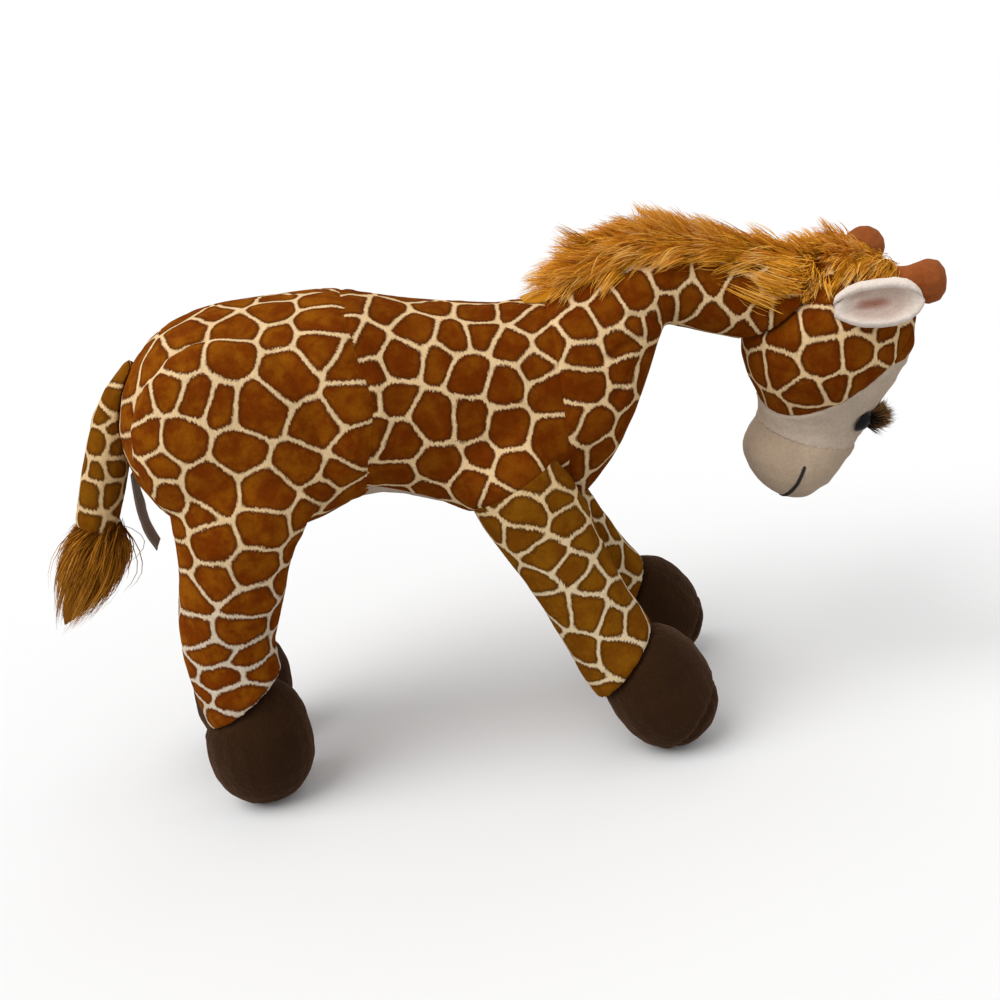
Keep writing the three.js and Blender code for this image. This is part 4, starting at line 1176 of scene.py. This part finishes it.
def ear_profile():
    """The ear across, from its lower edge at -1 to its curled edge at 1: how far across and out
    the middle of its thickness lies, and how far it is turned there."""
    v = np.linspace(-1, 1, 2 * EAR_PROFILE_STEPS + 1)
    bend = np.where(v < 0.5, EAR_RISE * 2 * v, EAR_RISE + (2 * v - 1) * (EAR_CURL - EAR_RISE))
    bend = np.where(v < 0, EAR_LOW_BEND * v, bend)
    width = np.where(v < 0, EAR_LOW_WIDTH, EAR_HIGH_WIDTH)
    ways = np.stack([np.cos(bend), np.sin(bend)], 1) * width[:, None]
    steps = (ways[1:] + ways[:-1]) / 2 * np.diff(v)[:, None]
    line = np.vstack([[0, 0], np.cumsum(steps, axis=0)])
    line -= line[EAR_PROFILE_STEPS]
    return v, line[:, 0], line[:, 1], bend


def ear_shell(side, rings, grow):
    """A cupped leaf with a rolled rim, made of rings from the middle of its hollow, over the
    rim, to the middle of its back. `rings` are (radius, face) with face 1 inside, -1 outside."""
    root, along, across, out = ear_frame(side)
    u, w = np.array(EAR_OUTLINE, float).T
    turns = np.linspace(0, 2 * math.pi, EAR_ROUND, endpoint=False)
    down = 0.5 - 0.5 * np.cos(turns)
    sides = np.sign(np.sin(turns)) * np.interp(down, u, w)
    rim = np.stack([down * EAR_LENGTH, sides * EAR_HALF_WIDTH], 1)
    heart = vec(EAR_HEART, 0)
    steps, *profile = ear_profile()
    roll_start, roll_end = EAR_ROLL_SPAN
    places = []
    for radius, face in rings:
        flat = heart + (rim - heart) * radius * (1 if grow else EAR_INSET)
        share = np.clip(flat[:, 0] / EAR_LENGTH, 0, 1)
        wide = np.maximum(np.interp(share, u, w), EAR_LEAST_WIDTH)
        v = flat[:, 1] / (wide * EAR_HALF_WIDTH)
        reach, rise, bend = (np.interp(v, steps, row) for row in profile)
        height = (rise - EAR_CUP) * wide - EAR_SINK
        fold = np.exp(-(((flat[:, 1] - EAR_FOLD_AT) / EAR_FOLD_WIDTH) ** 2))
        fold *= smoothstep(*EAR_FOLD_SPAN, share)
        height += fold * EAR_FOLD_HEIGHT * min(1, 1.6 * (1 - radius))
        roll = smoothstep(roll_start, roll_end, radius)
        closing = math.sqrt(max(0, 1 - max(0, (radius - roll_end) / (1 - roll_end)) ** 2))
        half = (EAR_THICK + EAR_ROLL * roll + grow) * closing * face
        lift = grow * 0.5 if closing < 1 else 0
        at = root + np.outer(flat[:, 0] - EAR_BEHIND, along)
        at += np.outer(reach * wide - np.sin(bend) * (half + lift), across)
        places.append(at + np.outer(height + np.cos(bend) * (half + lift), out))
    places = np.vstack(places)
    wave = noise_at(places, EAR_WAVE_SIZE, "ear") * EAR_WAVE
    return places + np.outer(wave, out), ring_quads(len(rings), EAR_ROUND)


def make_ear(side):
    shares = np.linspace(0.02, 1, EAR_RINGS)
    inside = [(r, 1) for r in shares[:-1]]
    outside = [(r, -1) for r in shares[:-1]][::-1]
    front = inside + [(1.0, 1)] + outside[:LINING_RINGS]
    whole = inside + [(1.0, 1)] + outside
    ear = leaf(f"ear_{side}_cover", *ear_shell(side, whole, 0.0))
    lining = leaf(f"ear_lining_{side}_cover", *ear_shell(side, front, LINING_PROUD))
    for piece in (ear, lining):
        piece.data.shade_smooth()
    root, along, across, _ = ear_frame(side)
    local = places_of(lining.data) - root
    share = local @ along / EAR_LENGTH
    # A darker pink along the fold at the root, partly the lining's pink and partly painted shade
    # of the fold, and painted shade deeper in the hollow
    blush = np.exp(-(((local @ across - FOLD_TINT_AT) / FOLD_TINT_WIDTH) ** 2))
    for span in FOLD_TINT_SPANS:
        blush *= smoothstep(*span, share)
    hollow = np.repeat([smoothstep(*HOLLOW_SPAN, r) * (face > 0) for r, face in front], EAR_ROUND)
    blush = np.maximum(blush, hollow * HOLLOW_PAINTED_SHADE)
    write_attribute(lining.data, "blush", "FLOAT", "POINT", blush)
    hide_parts(f"ear_{side}")
    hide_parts(f"ear_lining_{side}")
    return ear, lining


# Care label
LABEL_GAP = 0.45 * MM
LABEL_HALF = 0.17 * MM
LABEL_STEPS = 60
LABEL_ACROSS = 14
LABEL_LEVELS = 8
LABEL_BEND_STEPS = 9
LABEL_WAVE = 2.2 * MM
LABEL_WAVE_SIZE = 16 * MM


def make_label():
    """A tape folded double, its two ends sewn in under the tail."""
    solid = places_of(NODES["care_label"].data)
    low, high = solid.min(0), solid.max(0)
    levels = np.linspace(high[2], low[2], LABEL_LEVELS)
    window = (high[2] - low[2]) / (LABEL_LEVELS + 1)
    middles = [solid[np.abs(solid[:, 2] - z) < window, 0].mean() for z in levels]
    z = np.linspace(high[2], low[2] + LABEL_GAP, LABEL_STEPS)
    line = np.stack([np.interp(z, levels[::-1], middles[::-1]), z], 1)
    way = unit(np.gradient(line, axis=0))
    out = np.stack([way[:, 1], -way[:, 0]], 1)
    turns = np.linspace(0, math.pi, LABEL_BEND_STEPS)[1:-1]
    bend = line[-1] + LABEL_GAP * (
        np.outer(np.cos(turns), out[-1]) + np.outer(np.sin(turns), way[-1])
    )
    path = np.vstack([line + out * LABEL_GAP, bend, (line - out * LABEL_GAP)[::-1]])
    away = unit(np.gradient(path, axis=0))
    away = np.stack([away[:, 1], -away[:, 0]], 1)
    across = np.linspace(low[1], high[1], LABEL_ACROSS)
    layers = []
    for half in (LABEL_HALF, -LABEL_HALF):
        flat = path + away * half
        layers.append([[(x, y, z) for y in across] for x, z in flat])
    count = len(path)
    places = np.array(layers).reshape(-1, 3)
    wave = noise_at(places * vec(0, 1, 1), LABEL_WAVE_SIZE, "label")
    places[:, 0] += wave * smoothstep(high[2], low[2], places[:, 2]) * LABEL_WAVE

    def at(layer, i, j):
        return (layer * count + i) * LABEL_ACROSS + j

    quads = []
    for i in range(count - 1):
        for j in range(LABEL_ACROSS - 1):
            for layer in (0, 1):
                corners = ((i, j), (i, j + 1), (i + 1, j + 1), (i + 1, j))
                quads.append([at(layer, *corner) for corner in corners])
        for j in (0, LABEL_ACROSS - 1):
            quads.append([at(0, i, j), at(1, i, j), at(1, i + 1, j), at(0, i + 1, j)])
    for j in range(LABEL_ACROSS - 1):
        for i in (0, count - 1):
            quads.append([at(0, i, j), at(1, i, j), at(1, i, j + 1), at(0, i, j + 1)])
    label = leaf("care_label_ribbon", places, quads)
    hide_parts("care_label")
    return label


# The head's frame: it is turned and rolled by the same angle
HEAD_ANGLE = math.radians(12)
HEAD_TURN = np.array(Matrix.Rotation(HEAD_ANGLE, 3, "Z") @ Matrix.Rotation(HEAD_ANGLE, 3, "X"))
HEAD_AT = vec(0.267014, -0.008068, 0.292)

# Embroidery: the mouth's near half in pixels of the photograph, and its middle in the head's frame
MOUTH_PX = ((805, 466), (803, 472), (800, 479), (796, 486), (790, 492))
CHIN = vec(-40 * MM, -11 * MM, -131 * MM)
MOUTH_HALF = 1.3 * MM
MOUTH_RISE = 0.75 * MM
MOUTH_END = 1.5 * MM
MOUTH_RIB = 0.13
MOUTH_SWELL = 0.25
MOUTH_SIDES = 10
STITCH = 0.7 * MM


def smooth_line(points, step):
    """Even points along a line whose corners are cut three times over."""
    points = np.asarray(points, float)
    for _ in range(3):
        cuts = [points[:-1] * (1 - share) + points[1:] * share for share in (0.25, 0.75)]
        points = np.vstack([points[:1], np.stack(cuts, 1).reshape(-1, 3), points[-1:]])
    return along_line(points, step)


def make_mouth():
    """A satin-stitched line from one corner of the mouth round the chin to the other."""
    ground = tree_over(muzzle)
    near = cast(ground, [CAMERA_AT] * len(MOUTH_PX), [ray_of(x, y) for x, y in MOUTH_PX])
    near = np.vstack([near, HEAD_AT + HEAD_TURN @ CHIN])
    far = (near - HEAD_AT) @ HEAD_TURN * vec(1, -1, 1) @ HEAD_TURN.T + HEAD_AT
    line = smooth_line(np.vstack([near, far[::-1]]), STITCH / 4)
    foot, up = nearest(ground, line)
    along = unit(np.gradient(foot, axis=0))
    side = unit(np.cross(along, up))
    up = np.cross(side, along)
    run = np.arange(len(foot)) * STITCH / 4
    ridge = 1 + MOUTH_RIB * np.cos(run / STITCH * 2 * math.pi)[:, None]
    ends = np.minimum(1, np.minimum(run, run[::-1]) / MOUTH_END)[:, None] ** 0.5
    thick = (1 + MOUTH_SWELL * np.sin(run / run[-1] * math.pi))[:, None]
    places = []
    for k in range(MOUTH_SIDES):
        turn = 2 * math.pi * k / MOUTH_SIDES
        wide = side * math.cos(turn) * MOUTH_HALF * thick * ridge * ends
        places.append(foot + wide + up * math.sin(turn) * MOUTH_RISE * ridge * ends)
    places = np.stack(places, 1).reshape(-1, 3)
    mouth = leaf("mouth_thread", places, ring_quads(len(foot), MOUTH_SIDES))
    mouth.data.shade_smooth()
    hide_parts("mouth_stitch")
    return mouth


# Materials. A print's colours are those of its cells, their dark edge, the lines between them,
# the lines low on the toy, and the sheen
BROWN_PRINT = (("6c2d05", "80440a"), "562708", "e8c695", "d9cab7", "ffb060")
SPOTS = printed_plush("spotted plush", *BROWN_PRINT)
FACE_SPOTS = printed_plush("face plush", *BROWN_PRINT, depth=0.3 * MM)
REAR_SPOTS = printed_plush(
    "orange spotted plush", ("753307", "90500c"), "5e2b08", "eccb9a", "dccab2", "ffb060"
)
LEG_SPOTS = printed_plush(
    "golden spotted plush", ("76420a", "86540e"), "5c340c", "e4c390", "e4cda6", "ffc060"
)
CREAM = plain_plush("cream plush", CREAM_TONES, sheen=0.1, pile=1.0 * MM, depth=0.3 * MM)
HOOF = plain_plush("hoof plush", ("3a2413", "2a1a0e"), sheen=0.3, sheen_tint="c09478",
                   pile=1.7 * MM, depth=1.5 * MM)
# The muzzle is the face's cream cloth, painted darker and warmer for the shade under the head
SHADED_MUZZLE = plain_plush("muzzle plush", ("c0aa92", "b39d86"), sheen=0.1, pile=1.0 * MM,
                     depth=0.3 * MM)
# The lining's second colour is its pink with painted shade, along its fold and in its hollow
LINING = plain_plush("ear lining plush", ("f0e2d6", "e4d5c8"), sheen=0.1, pile=0.9 * MM,
                     blush="b07c68")
EAR_BACK = plain_plush("ear back plush", ("7a3e12", "6a320c"), sheen=0.1)
THREAD = thread("black thread", ("14100e", "221c19"), STITCH, 0.45)
NOSTRIL = thread("nostril thread", ("8a6657", "7a5648"), 0.6 * MM, 0.5)
RIBBON = ribbon("label ribbon", ("b4a595", "857766"))
GLOSS = gloss("eye plastic")
WASHER = moulded("washer plastic")
HORN = plain_plush("horn plush", ("ae6234", "7c3e18"), sheen=0.14, sheen_tint="ffb890",
                   pile=1.5 * MM, depth=1.2 * MM)

rng = np.random.default_rng(SEED)
make_camera()

# Covers
torso = cover("torso_cover", ["torso"], pinch=0.4 * MM, filled=fill_hips)
sew_torso(torso)
belly = cover("belly_cover", ["belly_panel"], lumps=0.4 * MM)
neck = cover("neck_cover", ["chest", "neck"], pinch=0.3 * MM, filled=tucked("chest", (-1, 0, 0)))
fold_neck(neck)
head = cover("head_cover", ["head"], voxel=FINE_VOXEL, lumps=0.6 * MM, pinch=0.5 * MM)
face = cover("face_cover", ["face"], voxel=FINE_VOXEL, lumps=0.5 * MM, pinch=0.2 * MM,
             filled=tucked("face", (-0.8, -0.1, 0)))
muzzle = cover("muzzle_cover", ["muzzle"], voxel=FINE_VOXEL, lumps=0.5 * MM, pinch=0.2 * MM,
               filled=tucked("muzzle", (0, -0.15, 0.7)))
tail = cover("tail_cover", ["tail"], voxel=FINE_VOXEL, lumps=0.8 * MM)
legs, hooves, horns = {}, {}, {}
for side in SIDES:
    for pair in ("front", "rear"):
        limb = f"{pair}_{side}"
        legs[limb] = cover(f"leg_{limb}_cover", [f"leg_{limb}"])
        hooves[limb] = cover(
            f"hoof_{limb}_cover", [f"hoof_{limb}", f"sole_{limb}"], pinch=2.0 * MM,
            seam_at_joint=True,
        )
    horns[side] = cover(
        f"ossicone_{side}_cover", [f"ossicone_{side}"], voxel=SMALL_VOXEL, lumps=0.4 * MM,
        seamed=False,
    )
    seat_shoulder(legs[f"front_{side}"], -1 if side == "right" else 1, [torso, neck])

trees = {piece.name: tree_over(piece) for piece in (torso, neck, head, tail, *legs.values())}

# Fur: the locks' strands, and how they stand on the cover that they grow on
LOCK_HAIRS = 20
HAIR_WIDTH = 0.6 * MM
GATHER = 0.42
STRAY = 1.1 * MM
ROOT_DEPTH = 1.5 * MM
ROOT_SHARE = 0.52
FUR_CLEAR = 3.5 * MM
INNER_LENGTHS = (0.5, 0.9)
WISPS = (5, 13)

# The mane: its locks are brushed back by its sweep and fall at its sides, less so behind
MANE_LOCKS = 1150
MANE_SWEEP = 33 * MM
MANE_SWEEPS = (0.7, 1.2)
MANE_BACK = 120 * MM
MANE_LOWERED = 3 * MM
MANE_CLEAR = 3 * MM
MANE_FRONT = 14 * MM
MANE_CROWN = 9 * MM
MANE_SPREAD = 2.8 * MM
CREST_STEPS = 10

# The forelock: low near the horns, long over the neck
FORELOCK_LOCKS = 620
FORELOCK_SWEEP = 22 * MM
FORELOCK_SWEEPS = (0.6, 1.2)
FORELOCK_LOWERED = 15 * MM
FORELOCK_BEHIND = 24 * MM
FORELOCK_CLEAR = 2.5 * MM
FORELOCK_FRONT = 3 * MM
FORELOCK_SPREAD = 2.5 * MM

# The tail's tuft
TUFT_LOCKS = 420
TUFT_HAIRS = 16
TUFT_WIDTH = 0.8 * MM
TUFT_ROOT = 8 * MM
TUFT_DEPTH = 4 * MM
TUFT_BACKING = 0.6

# The brush of an eyelid, and the lashes
LID_LOCKS = 340
LID_HAIRS = 9
LID_WIDTH = 0.42 * MM
LID_LONGER = 5.5
LASHES = 20
LASH_WIDTH = 0.55 * MM


def proud_tips(node, count, ground, least):
    """Places on a fur's solid where it stands clear of the cover, and those below them on it."""
    tips, out = sampled(node, count)
    foot, _ = nearest(ground, tips)
    keep = (np.linalg.norm(tips - foot, axis=1) > least) & (((tips - foot) * out).sum(1) > 0)
    return tips[keep], out[keep], foot[keep]


def some_shorter(tips, foot, share):
    """Draws a share of the tips in towards the cover."""
    inner = rng.random((len(tips), 1)) < share
    lengths = rng.uniform(*INNER_LENGTHS, (len(tips), 1))
    return np.where(inner, foot + (tips - foot) * lengths, tips)


def lifted(tips, ground, least):
    """Moves tips out to where they stand clear of the cover."""
    foot, up = nearest(ground, tips)
    over = ((tips - foot) * up).sum(1, keepdims=True)
    return tips + up * np.maximum(0, least - over)


def fallen(tips, low, drop, centre, back, aside):
    """Lets some tips fall down the sides, back and outward by a share of their drop."""
    side = np.sign(tips[:, 1] - centre)
    fall = np.stack([-back * drop, side * aside * drop, -drop], 1)
    return tips + fall * low[:, None]


def brushed(ground, start, tips, centre, lift):
    """Locks from the cover under each start to the tips, laid over the cover."""
    roots, up = nearest(ground, start)
    roots = roots - up * ROOT_DEPTH
    length = np.linalg.norm(tips - roots, axis=1, keepdims=True)
    middles = roots * ROOT_SHARE + tips * (1 - ROOT_SHARE) + up * length * lift
    return drape(ground, arcs(roots, middles, tips), centre, FUR_CLEAR)


def furred(node, locks, spread, ground, share):
    """A long fur of some locks, over a backing at a share of the solid's height."""
    paths = strands(locks, LOCK_HAIRS, spread, gather=GATHER, stray=STRAY)
    tone = hair_tones(locks, LOCK_HAIRS)
    base = underlay(node, ground, share)
    return hair(f"{node}_fur", paths, tone, HAIR_WIDTH, FUR_TONES, base)


def grow_mane():
    """Locks rooted along the top seam of the neck and brushed back over its sides."""
    ground = tree_over(torso, neck)
    tips, out, foot = proud_tips("mane", MANE_LOCKS, ground, least=3 * MM)
    solid = places_of(NODES["mane"].data)
    lowest, highest = solid.min(0), solid.max(0)
    centre = (lowest[1] + highest[1]) / 2
    xs = np.linspace(lowest[0], highest[0], CREST_STEPS)
    window = (xs[1] - xs[0]) * 1.2
    crest = [solid[np.abs(solid[:, 0] - x) < window, 2].max() for x in xs]
    slope = np.interp(tips[:, 0], xs, np.gradient(crest, xs))
    ahead = unit(np.stack([np.ones(len(tips)), np.zeros(len(tips)), slope], 1))
    sweep = MANE_SWEEP * rng.uniform(*MANE_SWEEPS, (len(tips), 1))
    tips = some_shorter(tips, foot, share=0.35)
    back = smoothstep(highest[0] - MANE_BACK, lowest[0], tips[:, 0])[:, None]
    fore = smoothstep(lowest[0] + 20 * MM, highest[0] - 40 * MM, tips[:, 0])
    tips = tips + out * rng.uniform(-2, 2 + 6 * back) * MM
    tips = lifted(tips - np.outer(fore, vec(0, 0, MANE_LOWERED)), ground, MANE_CLEAR)
    low = (np.abs(tips[:, 1] - centre) > MANE_CROWN) & (rng.random(len(tips)) < 0.8)
    tips = fallen(tips, low, rng.uniform(4, 12 + 7 * fore) * MM, centre, back=0.35, aside=0.25)
    wisp = rng.random((len(tips), 1)) < 0.06
    tips = tips + out * wisp * rng.uniform(*WISPS, (len(tips), 1)) * MM
    start = tips + ahead * sweep
    start[:, 0] = np.minimum(start[:, 0], highest[0] + MANE_FRONT)
    start[:, 1] = centre + (start[:, 1] - centre) * 0.4
    locks = brushed(ground, start, tips, centre, lift=0.2 - 0.08 * fore[:, None])
    locks = np.concatenate([locks, locks[wisp[:, 0]]])
    return furred("mane", locks, MANE_SPREAD, ground, share=0.28)


def grow_forelock():
    """Locks swept back from between the horns, over the crown and down the temples."""
    ground = tree_over(head, neck)
    tips, _, foot = proud_tips("forelock", FORELOCK_LOCKS, ground, least=2 * MM)
    solid = places_of(NODES["forelock"].data)
    middle, front = solid.mean(0), solid[:, 0].max()
    tips = some_shorter(tips, foot, share=0.3)
    ahead = smoothstep(middle[0] - 6 * MM, middle[0] + 12 * MM, tips[:, 0])
    tips[:, 2] -= ahead * FORELOCK_LOWERED
    behind = smoothstep(middle[0], middle[0] - 15 * MM, tips[:, 0])
    tips[:, 0] -= behind * rng.random(len(tips)) * FORELOCK_BEHIND
    tips = lifted(tips, ground, FORELOCK_CLEAR)
    low = (tips[:, 2] < middle[2]) & (rng.random(len(tips)) < 0.8)
    drop = rng.uniform(6, 22, len(tips)) * MM
    tips = fallen(tips, low, drop, middle[1], back=0.1, aside=0.3)
    wisp = (tips[:, 0] < middle[0]) & (rng.random(len(tips)) < 0.12)
    tips[wisp] += vec(-0.1, 0, 1) * rng.uniform(*WISPS, (wisp.sum(), 1)) * MM
    sweep = FORELOCK_SWEEP * rng.uniform(*FORELOCK_SWEEPS, (len(tips), 1))
    start = tips + vec(0.75, 0, 0.1) * sweep
    start[:, 0] = np.minimum(start[:, 0], front - FORELOCK_FRONT)
    start[:, 1] = middle[1] + (start[:, 1] - middle[1]) * 0.45
    locks = brushed(ground, start, tips, middle[1], lift=0.2)
    return furred("forelock", locks, FORELOCK_SPREAD, ground, share=0.3)


def grow_tuft():
    """Locks gathered in the end of the tail, which swell and then draw to a point."""
    tail_places = places_of(tail.data)
    end = tail_places[tail_places[:, 2] < tail_places[:, 2].min() + 5 * MM].mean(0)
    solid = places_of(NODES["tail_tuft"].data)
    axis = unit(solid[solid[:, 2].argmin()] - end)
    tips, _ = sampled("tail_tuft", TUFT_LOCKS)
    along = (tips - end) @ axis
    tips, along = tips[along > 6 * MM], along[along > 6 * MM][:, None]
    line = end + axis * along
    tips = line + (tips - line) * rng.uniform(0.35, 1.02, (len(tips), 1)) ** 0.6
    radial = unit(tips - line)
    roots = end + radial * TUFT_ROOT * rng.random((len(tips), 1)) - axis * TUFT_DEPTH
    length = np.linalg.norm(tips - roots, axis=1, keepdims=True)
    middles = roots * 0.55 + tips * 0.45 + radial * length * 0.2
    tips = tips + axis * rng.uniform(0, 9, (len(tips), 1)) * MM
    locks = arcs(roots, middles, tips)
    paths = strands(locks, TUFT_HAIRS, 2.2 * MM, stray=1.0 * MM)
    tone = hair_tones(locks, TUFT_HAIRS, low=0.2, high=2.6)
    places, quads = backing("tail_tuft")
    line = end + ((places - end) @ axis)[:, None] * axis
    base = (line + (places - line) * TUFT_BACKING - axis * 3 * MM, quads)
    return hair("tail_tuft_fur", paths, tone, TUFT_WIDTH, TUFT_TONES, base)


def grow_lid(side):
    """A brush of short hair over an eye, and a row of lashes under it."""
    ground = tree_over(face)
    eye = places_of(NODES[f"eye_{side}"].data).mean(0)
    tips, _ = sampled(f"eyelid_{side}", LID_LOCKS)
    foot, up = nearest(ground, tips)
    roots, _ = nearest(ground, foot + (eye - foot) * rng.uniform(0.3, 0.85, (len(tips), 1)))
    tips = tips + unit(tips - eye) * rng.uniform(0, LID_LONGER, (len(tips), 1)) * MM
    over = ((tips - foot) * up).sum(1, keepdims=True)
    tips = tips + up * np.maximum(0, 1.5 * MM - over)
    middles = roots * 0.5 + tips * 0.5 + up * 3 * MM
    paths = strands(arcs(roots, middles, tips), LID_HAIRS, 1.0 * MM, gather=0.7, stray=0.9 * MM)
    tone = 1.8 + rng.normal(0, 0.8, len(paths))
    lid = hair(f"eyelid_{side}_fur", paths, tone, LID_WIDTH, LID_TONES)
    tips, _ = sampled(f"eyelashes_{side}", LASHES * 3)
    reach = np.linalg.norm(tips - eye, axis=1)
    tips = tips[reach > np.median(reach)][:LASHES]
    _, up = nearest(ground, tips)
    roots, _ = nearest(ground, eye + (tips - eye) * 0.35)
    tips = tips + (tips - eye) * 0.35
    middles = roots * 0.5 + tips * 0.5 + up * 2.5 * MM
    paths = strands(arcs(roots, middles, tips), 3, 0.5 * MM, stray=0.7 * MM)
    tone = np.full(len(paths), 2.0)
    return lid, hair(f"eyelashes_{side}_hair", paths, tone, LASH_WIDTH, LASH_TONES)


# The prints: how far each one's limb leans, its cells in view, and the covers that they are on
prints = {}
for name, lean, cells, seen_on in (
    ("rear", 0, REAR_CELLS_PX, ("torso", "leg_rear_right")),
    ("body", 0, BODY_CELLS_PX, ("torso", "leg_rear_right")),
    ("chest", 0, CHEST_CELLS_PX, ("neck",)),
    ("front_right", -24, FRONT_LEG_CELLS_PX, ("leg_front_right",)),
    ("front_left", -30, FAR_LEG_CELLS_PX, ("leg_front_left",)),
    ("head", 0, HEAD_CELLS_PX, ("head",)),
    ("tail", 0, TAIL_CELLS_PX, ("tail",)),
):
    prints[name] = Print(lean)
    prints[name].add_seen(cells, [trees[f"{piece}_cover"] for piece in seen_on])


def shank_squeeze(places):
    return 1 + SHANK_SQUEEZE * smoothstep(*SHANK, places[:, 2])


def leg_squeeze(places):
    return np.full(len(places), LEG_SQUEEZE)


def no_squeeze(places):
    return np.ones(len(places))


torso_places = places_of(torso.data)
behind = behind_seam(torso_places)
rear_places = [places_of(legs[f"rear_{side}"].data) for side in SIDES]
for name, spacing, places, squeeze in (
    ("rear", "rear", np.vstack([torso_places[behind > 0], *rear_places]), shank_squeeze),
    ("body", "body", torso_places[behind <= 0], no_squeeze),
    ("chest", "chest", places_of(neck.data), no_squeeze),
    ("front_right", "front_leg", places_of(legs["front_right"].data), leg_squeeze),
    ("front_left", "front_leg", places_of(legs["front_left"].data), leg_squeeze),
    ("head", "head", places_of(head.data), no_squeeze),
    ("tail", "tail", places_of(tail.data), no_squeeze),
):
    prints[name].fill(places, squeeze(places), CELL_SPACING[spacing])

rear_faces = (behind_seam(face_middles(torso.data)) > 0).astype(int)
write_print(torso, [prints["body"], prints["rear"]], no_squeeze, rear_faces)
for piece, name, squeeze in (
    (face, "head", no_squeeze),
    (neck, "chest", no_squeeze),
    (head, "head", no_squeeze),
    (tail, "tail", no_squeeze),
    *((legs[f"rear_{side}"], "rear", shank_squeeze) for side in SIDES),
    *((legs[f"front_{side}"], f"front_{side}", leg_squeeze) for side in SIDES),
):
    write_print(piece, [prints[name]], squeeze)
belly_depth = np.interp(torso_places[:, 0], BELLY_EDGE_X, BELLY_EDGE_Z) - torso_places[:, 2]
write_bare(torso, belly_depth * (behind <= 0.1 * MM))
write_bare(face, BROW - ((places_of(face.data) - HEAD_AT) @ HEAD_TURN)[:, 2])

dress(torso, SPOTS, "torso")
torso.data.materials.append(REAR_SPOTS)
torso.data.polygons.foreach_set("material_index", rear_faces)
dress(neck, SPOTS)
dress(head, SPOTS)
dress(tail, LEG_SPOTS)
dress(belly, CREAM, "torso")
dress(face, FACE_SPOTS, "head")
dress(muzzle, SHADED_MUZZLE, "head")
for limb, leg in legs.items():
    dress(leg, LEG_SPOTS if "front" in limb else REAR_SPOTS)
    dress(hooves[limb], HOOF, f"leg_{limb}")
    if "rear" in limb:
        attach(leg, f"leg_{limb}")
for horn in horns.values():
    dress(horn, HORN, "head")

mane = grow_mane()
forelock = grow_forelock()
tuft = grow_tuft()
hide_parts("mane")
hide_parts("forelock")
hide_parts("tail_tuft")
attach(tuft, "tail")
for side in SIDES:
    lid, lashes = grow_lid(side)
    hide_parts(f"eyelid_{side}")
    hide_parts(f"eyelashes_{side}")
    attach(lid, "head")
    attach(lashes, "head")

ears = {side: make_ear(side) for side in SIDES}
mouth = make_mouth()
dress(mouth, THREAD, "head")
label = make_label()
dress(label, RIBBON, "torso")
for side in SIDES:
    small = {"voxel": TINY_VOXEL, "reach": 2 * MM, "pinch": 0, "lumps": 0}
    eye = cover(f"eye_{side}_dome", [f"eye_{side}"], rounds=25, **small)
    dress(eye, GLOSS, "head")
    nostril = cover(f"nostril_{side}_stitch", [f"nostril_{side}"], rounds=10, **small)
    dress(nostril, NOSTRIL, "head")
    NODES[f"eye_washer_{side}"].material_slots[0].material = WASHER
    ear, lining = ears[side]
    dress(ear, EAR_BACK)
    dress(lining, LINING)
    _, along, _, _ = ear_frame(side)
    for piece in (ear, lining):
        blended(piece, f"ear_{side}_swing", along * -2 * MM, along * 12 * MM)

# Covers at joints: each with its joint and places from and to, given from the joint; they are
# baked in place, not bent
for piece, joint_name, start, end in (
    (neck, "neck_bend", (-35 * MM, 0, 0), (30 * MM, 0, 0)),
    (mane, "neck_bend", (-35 * MM, 0, 0), (30 * MM, 0, 0)),
    (head, "head_nod", (0, 0, 0), (10 * MM, 0, -28 * MM)),
    (forelock, "head_nod", (-14 * MM, 0, 0), (10 * MM, 0, 0)),
    (tail, "tail_lift", (5 * MM, 0, 5 * MM), (-10 * MM, 0, -25 * MM)),
    (legs["front_right"], "leg_front_right_swing", (0, 0, 25 * MM), (20 * MM, 0, -35 * MM)),
    (legs["front_left"], "leg_front_left_swing", (0, 0, 25 * MM), (20 * MM, 0, -35 * MM)),
):
    blended(piece, joint_name, start, end)

# Floor, backdrop and light
FLOOR_HALF = 30
FLOOR_DROP = 0.2 * MM
FLOOR_SEEN = 0.92
FLOOR_BOUNCE = 0.5
SKY_LEVEL = 0.66
SUN_FROM = (-0.7, -0.35, 1)
SUN_LEVEL = 1.75
SUN_SPREAD = 50


def seen_by_camera(tree):
    return tree.nodes.new("ShaderNodeLightPath").outputs["Is Camera Ray"]


def make_stage():
    corners = ((-1, -1), (1, -1), (1, 1), (-1, 1))
    places = [(x * FLOOR_HALF, y * FLOOR_HALF, -FLOOR_DROP) for x, y in corners]
    floor = new_object("floor", mesh_of("floor", places, [(0, 1, 2, 3)]))
    n = Nodes("floor")
    tones = [(level, level, level, 1) for level in (FLOOR_BOUNCE, FLOOR_SEEN)]
    n.set(Base_Color=n.mix(seen_by_camera(n.tree), *tones), Roughness=1.0, Specular_IOR_Level=0.0)
    floor.data.materials.append(n.material)


def make_sun():
    data = bpy.data.lights.new("sun", "SUN")
    data.energy = SUN_LEVEL
    data.angle = math.radians(SUN_SPREAD)
    lamp = new_object("sun", data)
    lamp.rotation_euler = Vector(SUN_FROM).to_track_quat("Z", "Y").to_euler()


def make_world():
    """An even white sky, which the camera sees at full white."""
    world = bpy.data.worlds.new("world")
    bpy.context.scene.world = world
    world.use_nodes = True
    tree = world.node_tree
    strength = tree.nodes.new("ShaderNodeMapRange")
    tree.links.new(seen_by_camera(tree), strength.inputs["Value"])
    strength.inputs["To Min"].default_value = SKY_LEVEL
    strength.inputs["To Max"].default_value = 1
    back = tree.nodes["Background"]
    back.inputs["Color"].default_value = (1, 1, 1, 1)
    tree.links.new(strength.outputs[0], back.inputs["Strength"])


make_stage()
make_world()
make_sun()
bpy.context.scene.view_settings.view_transform = "Standard"
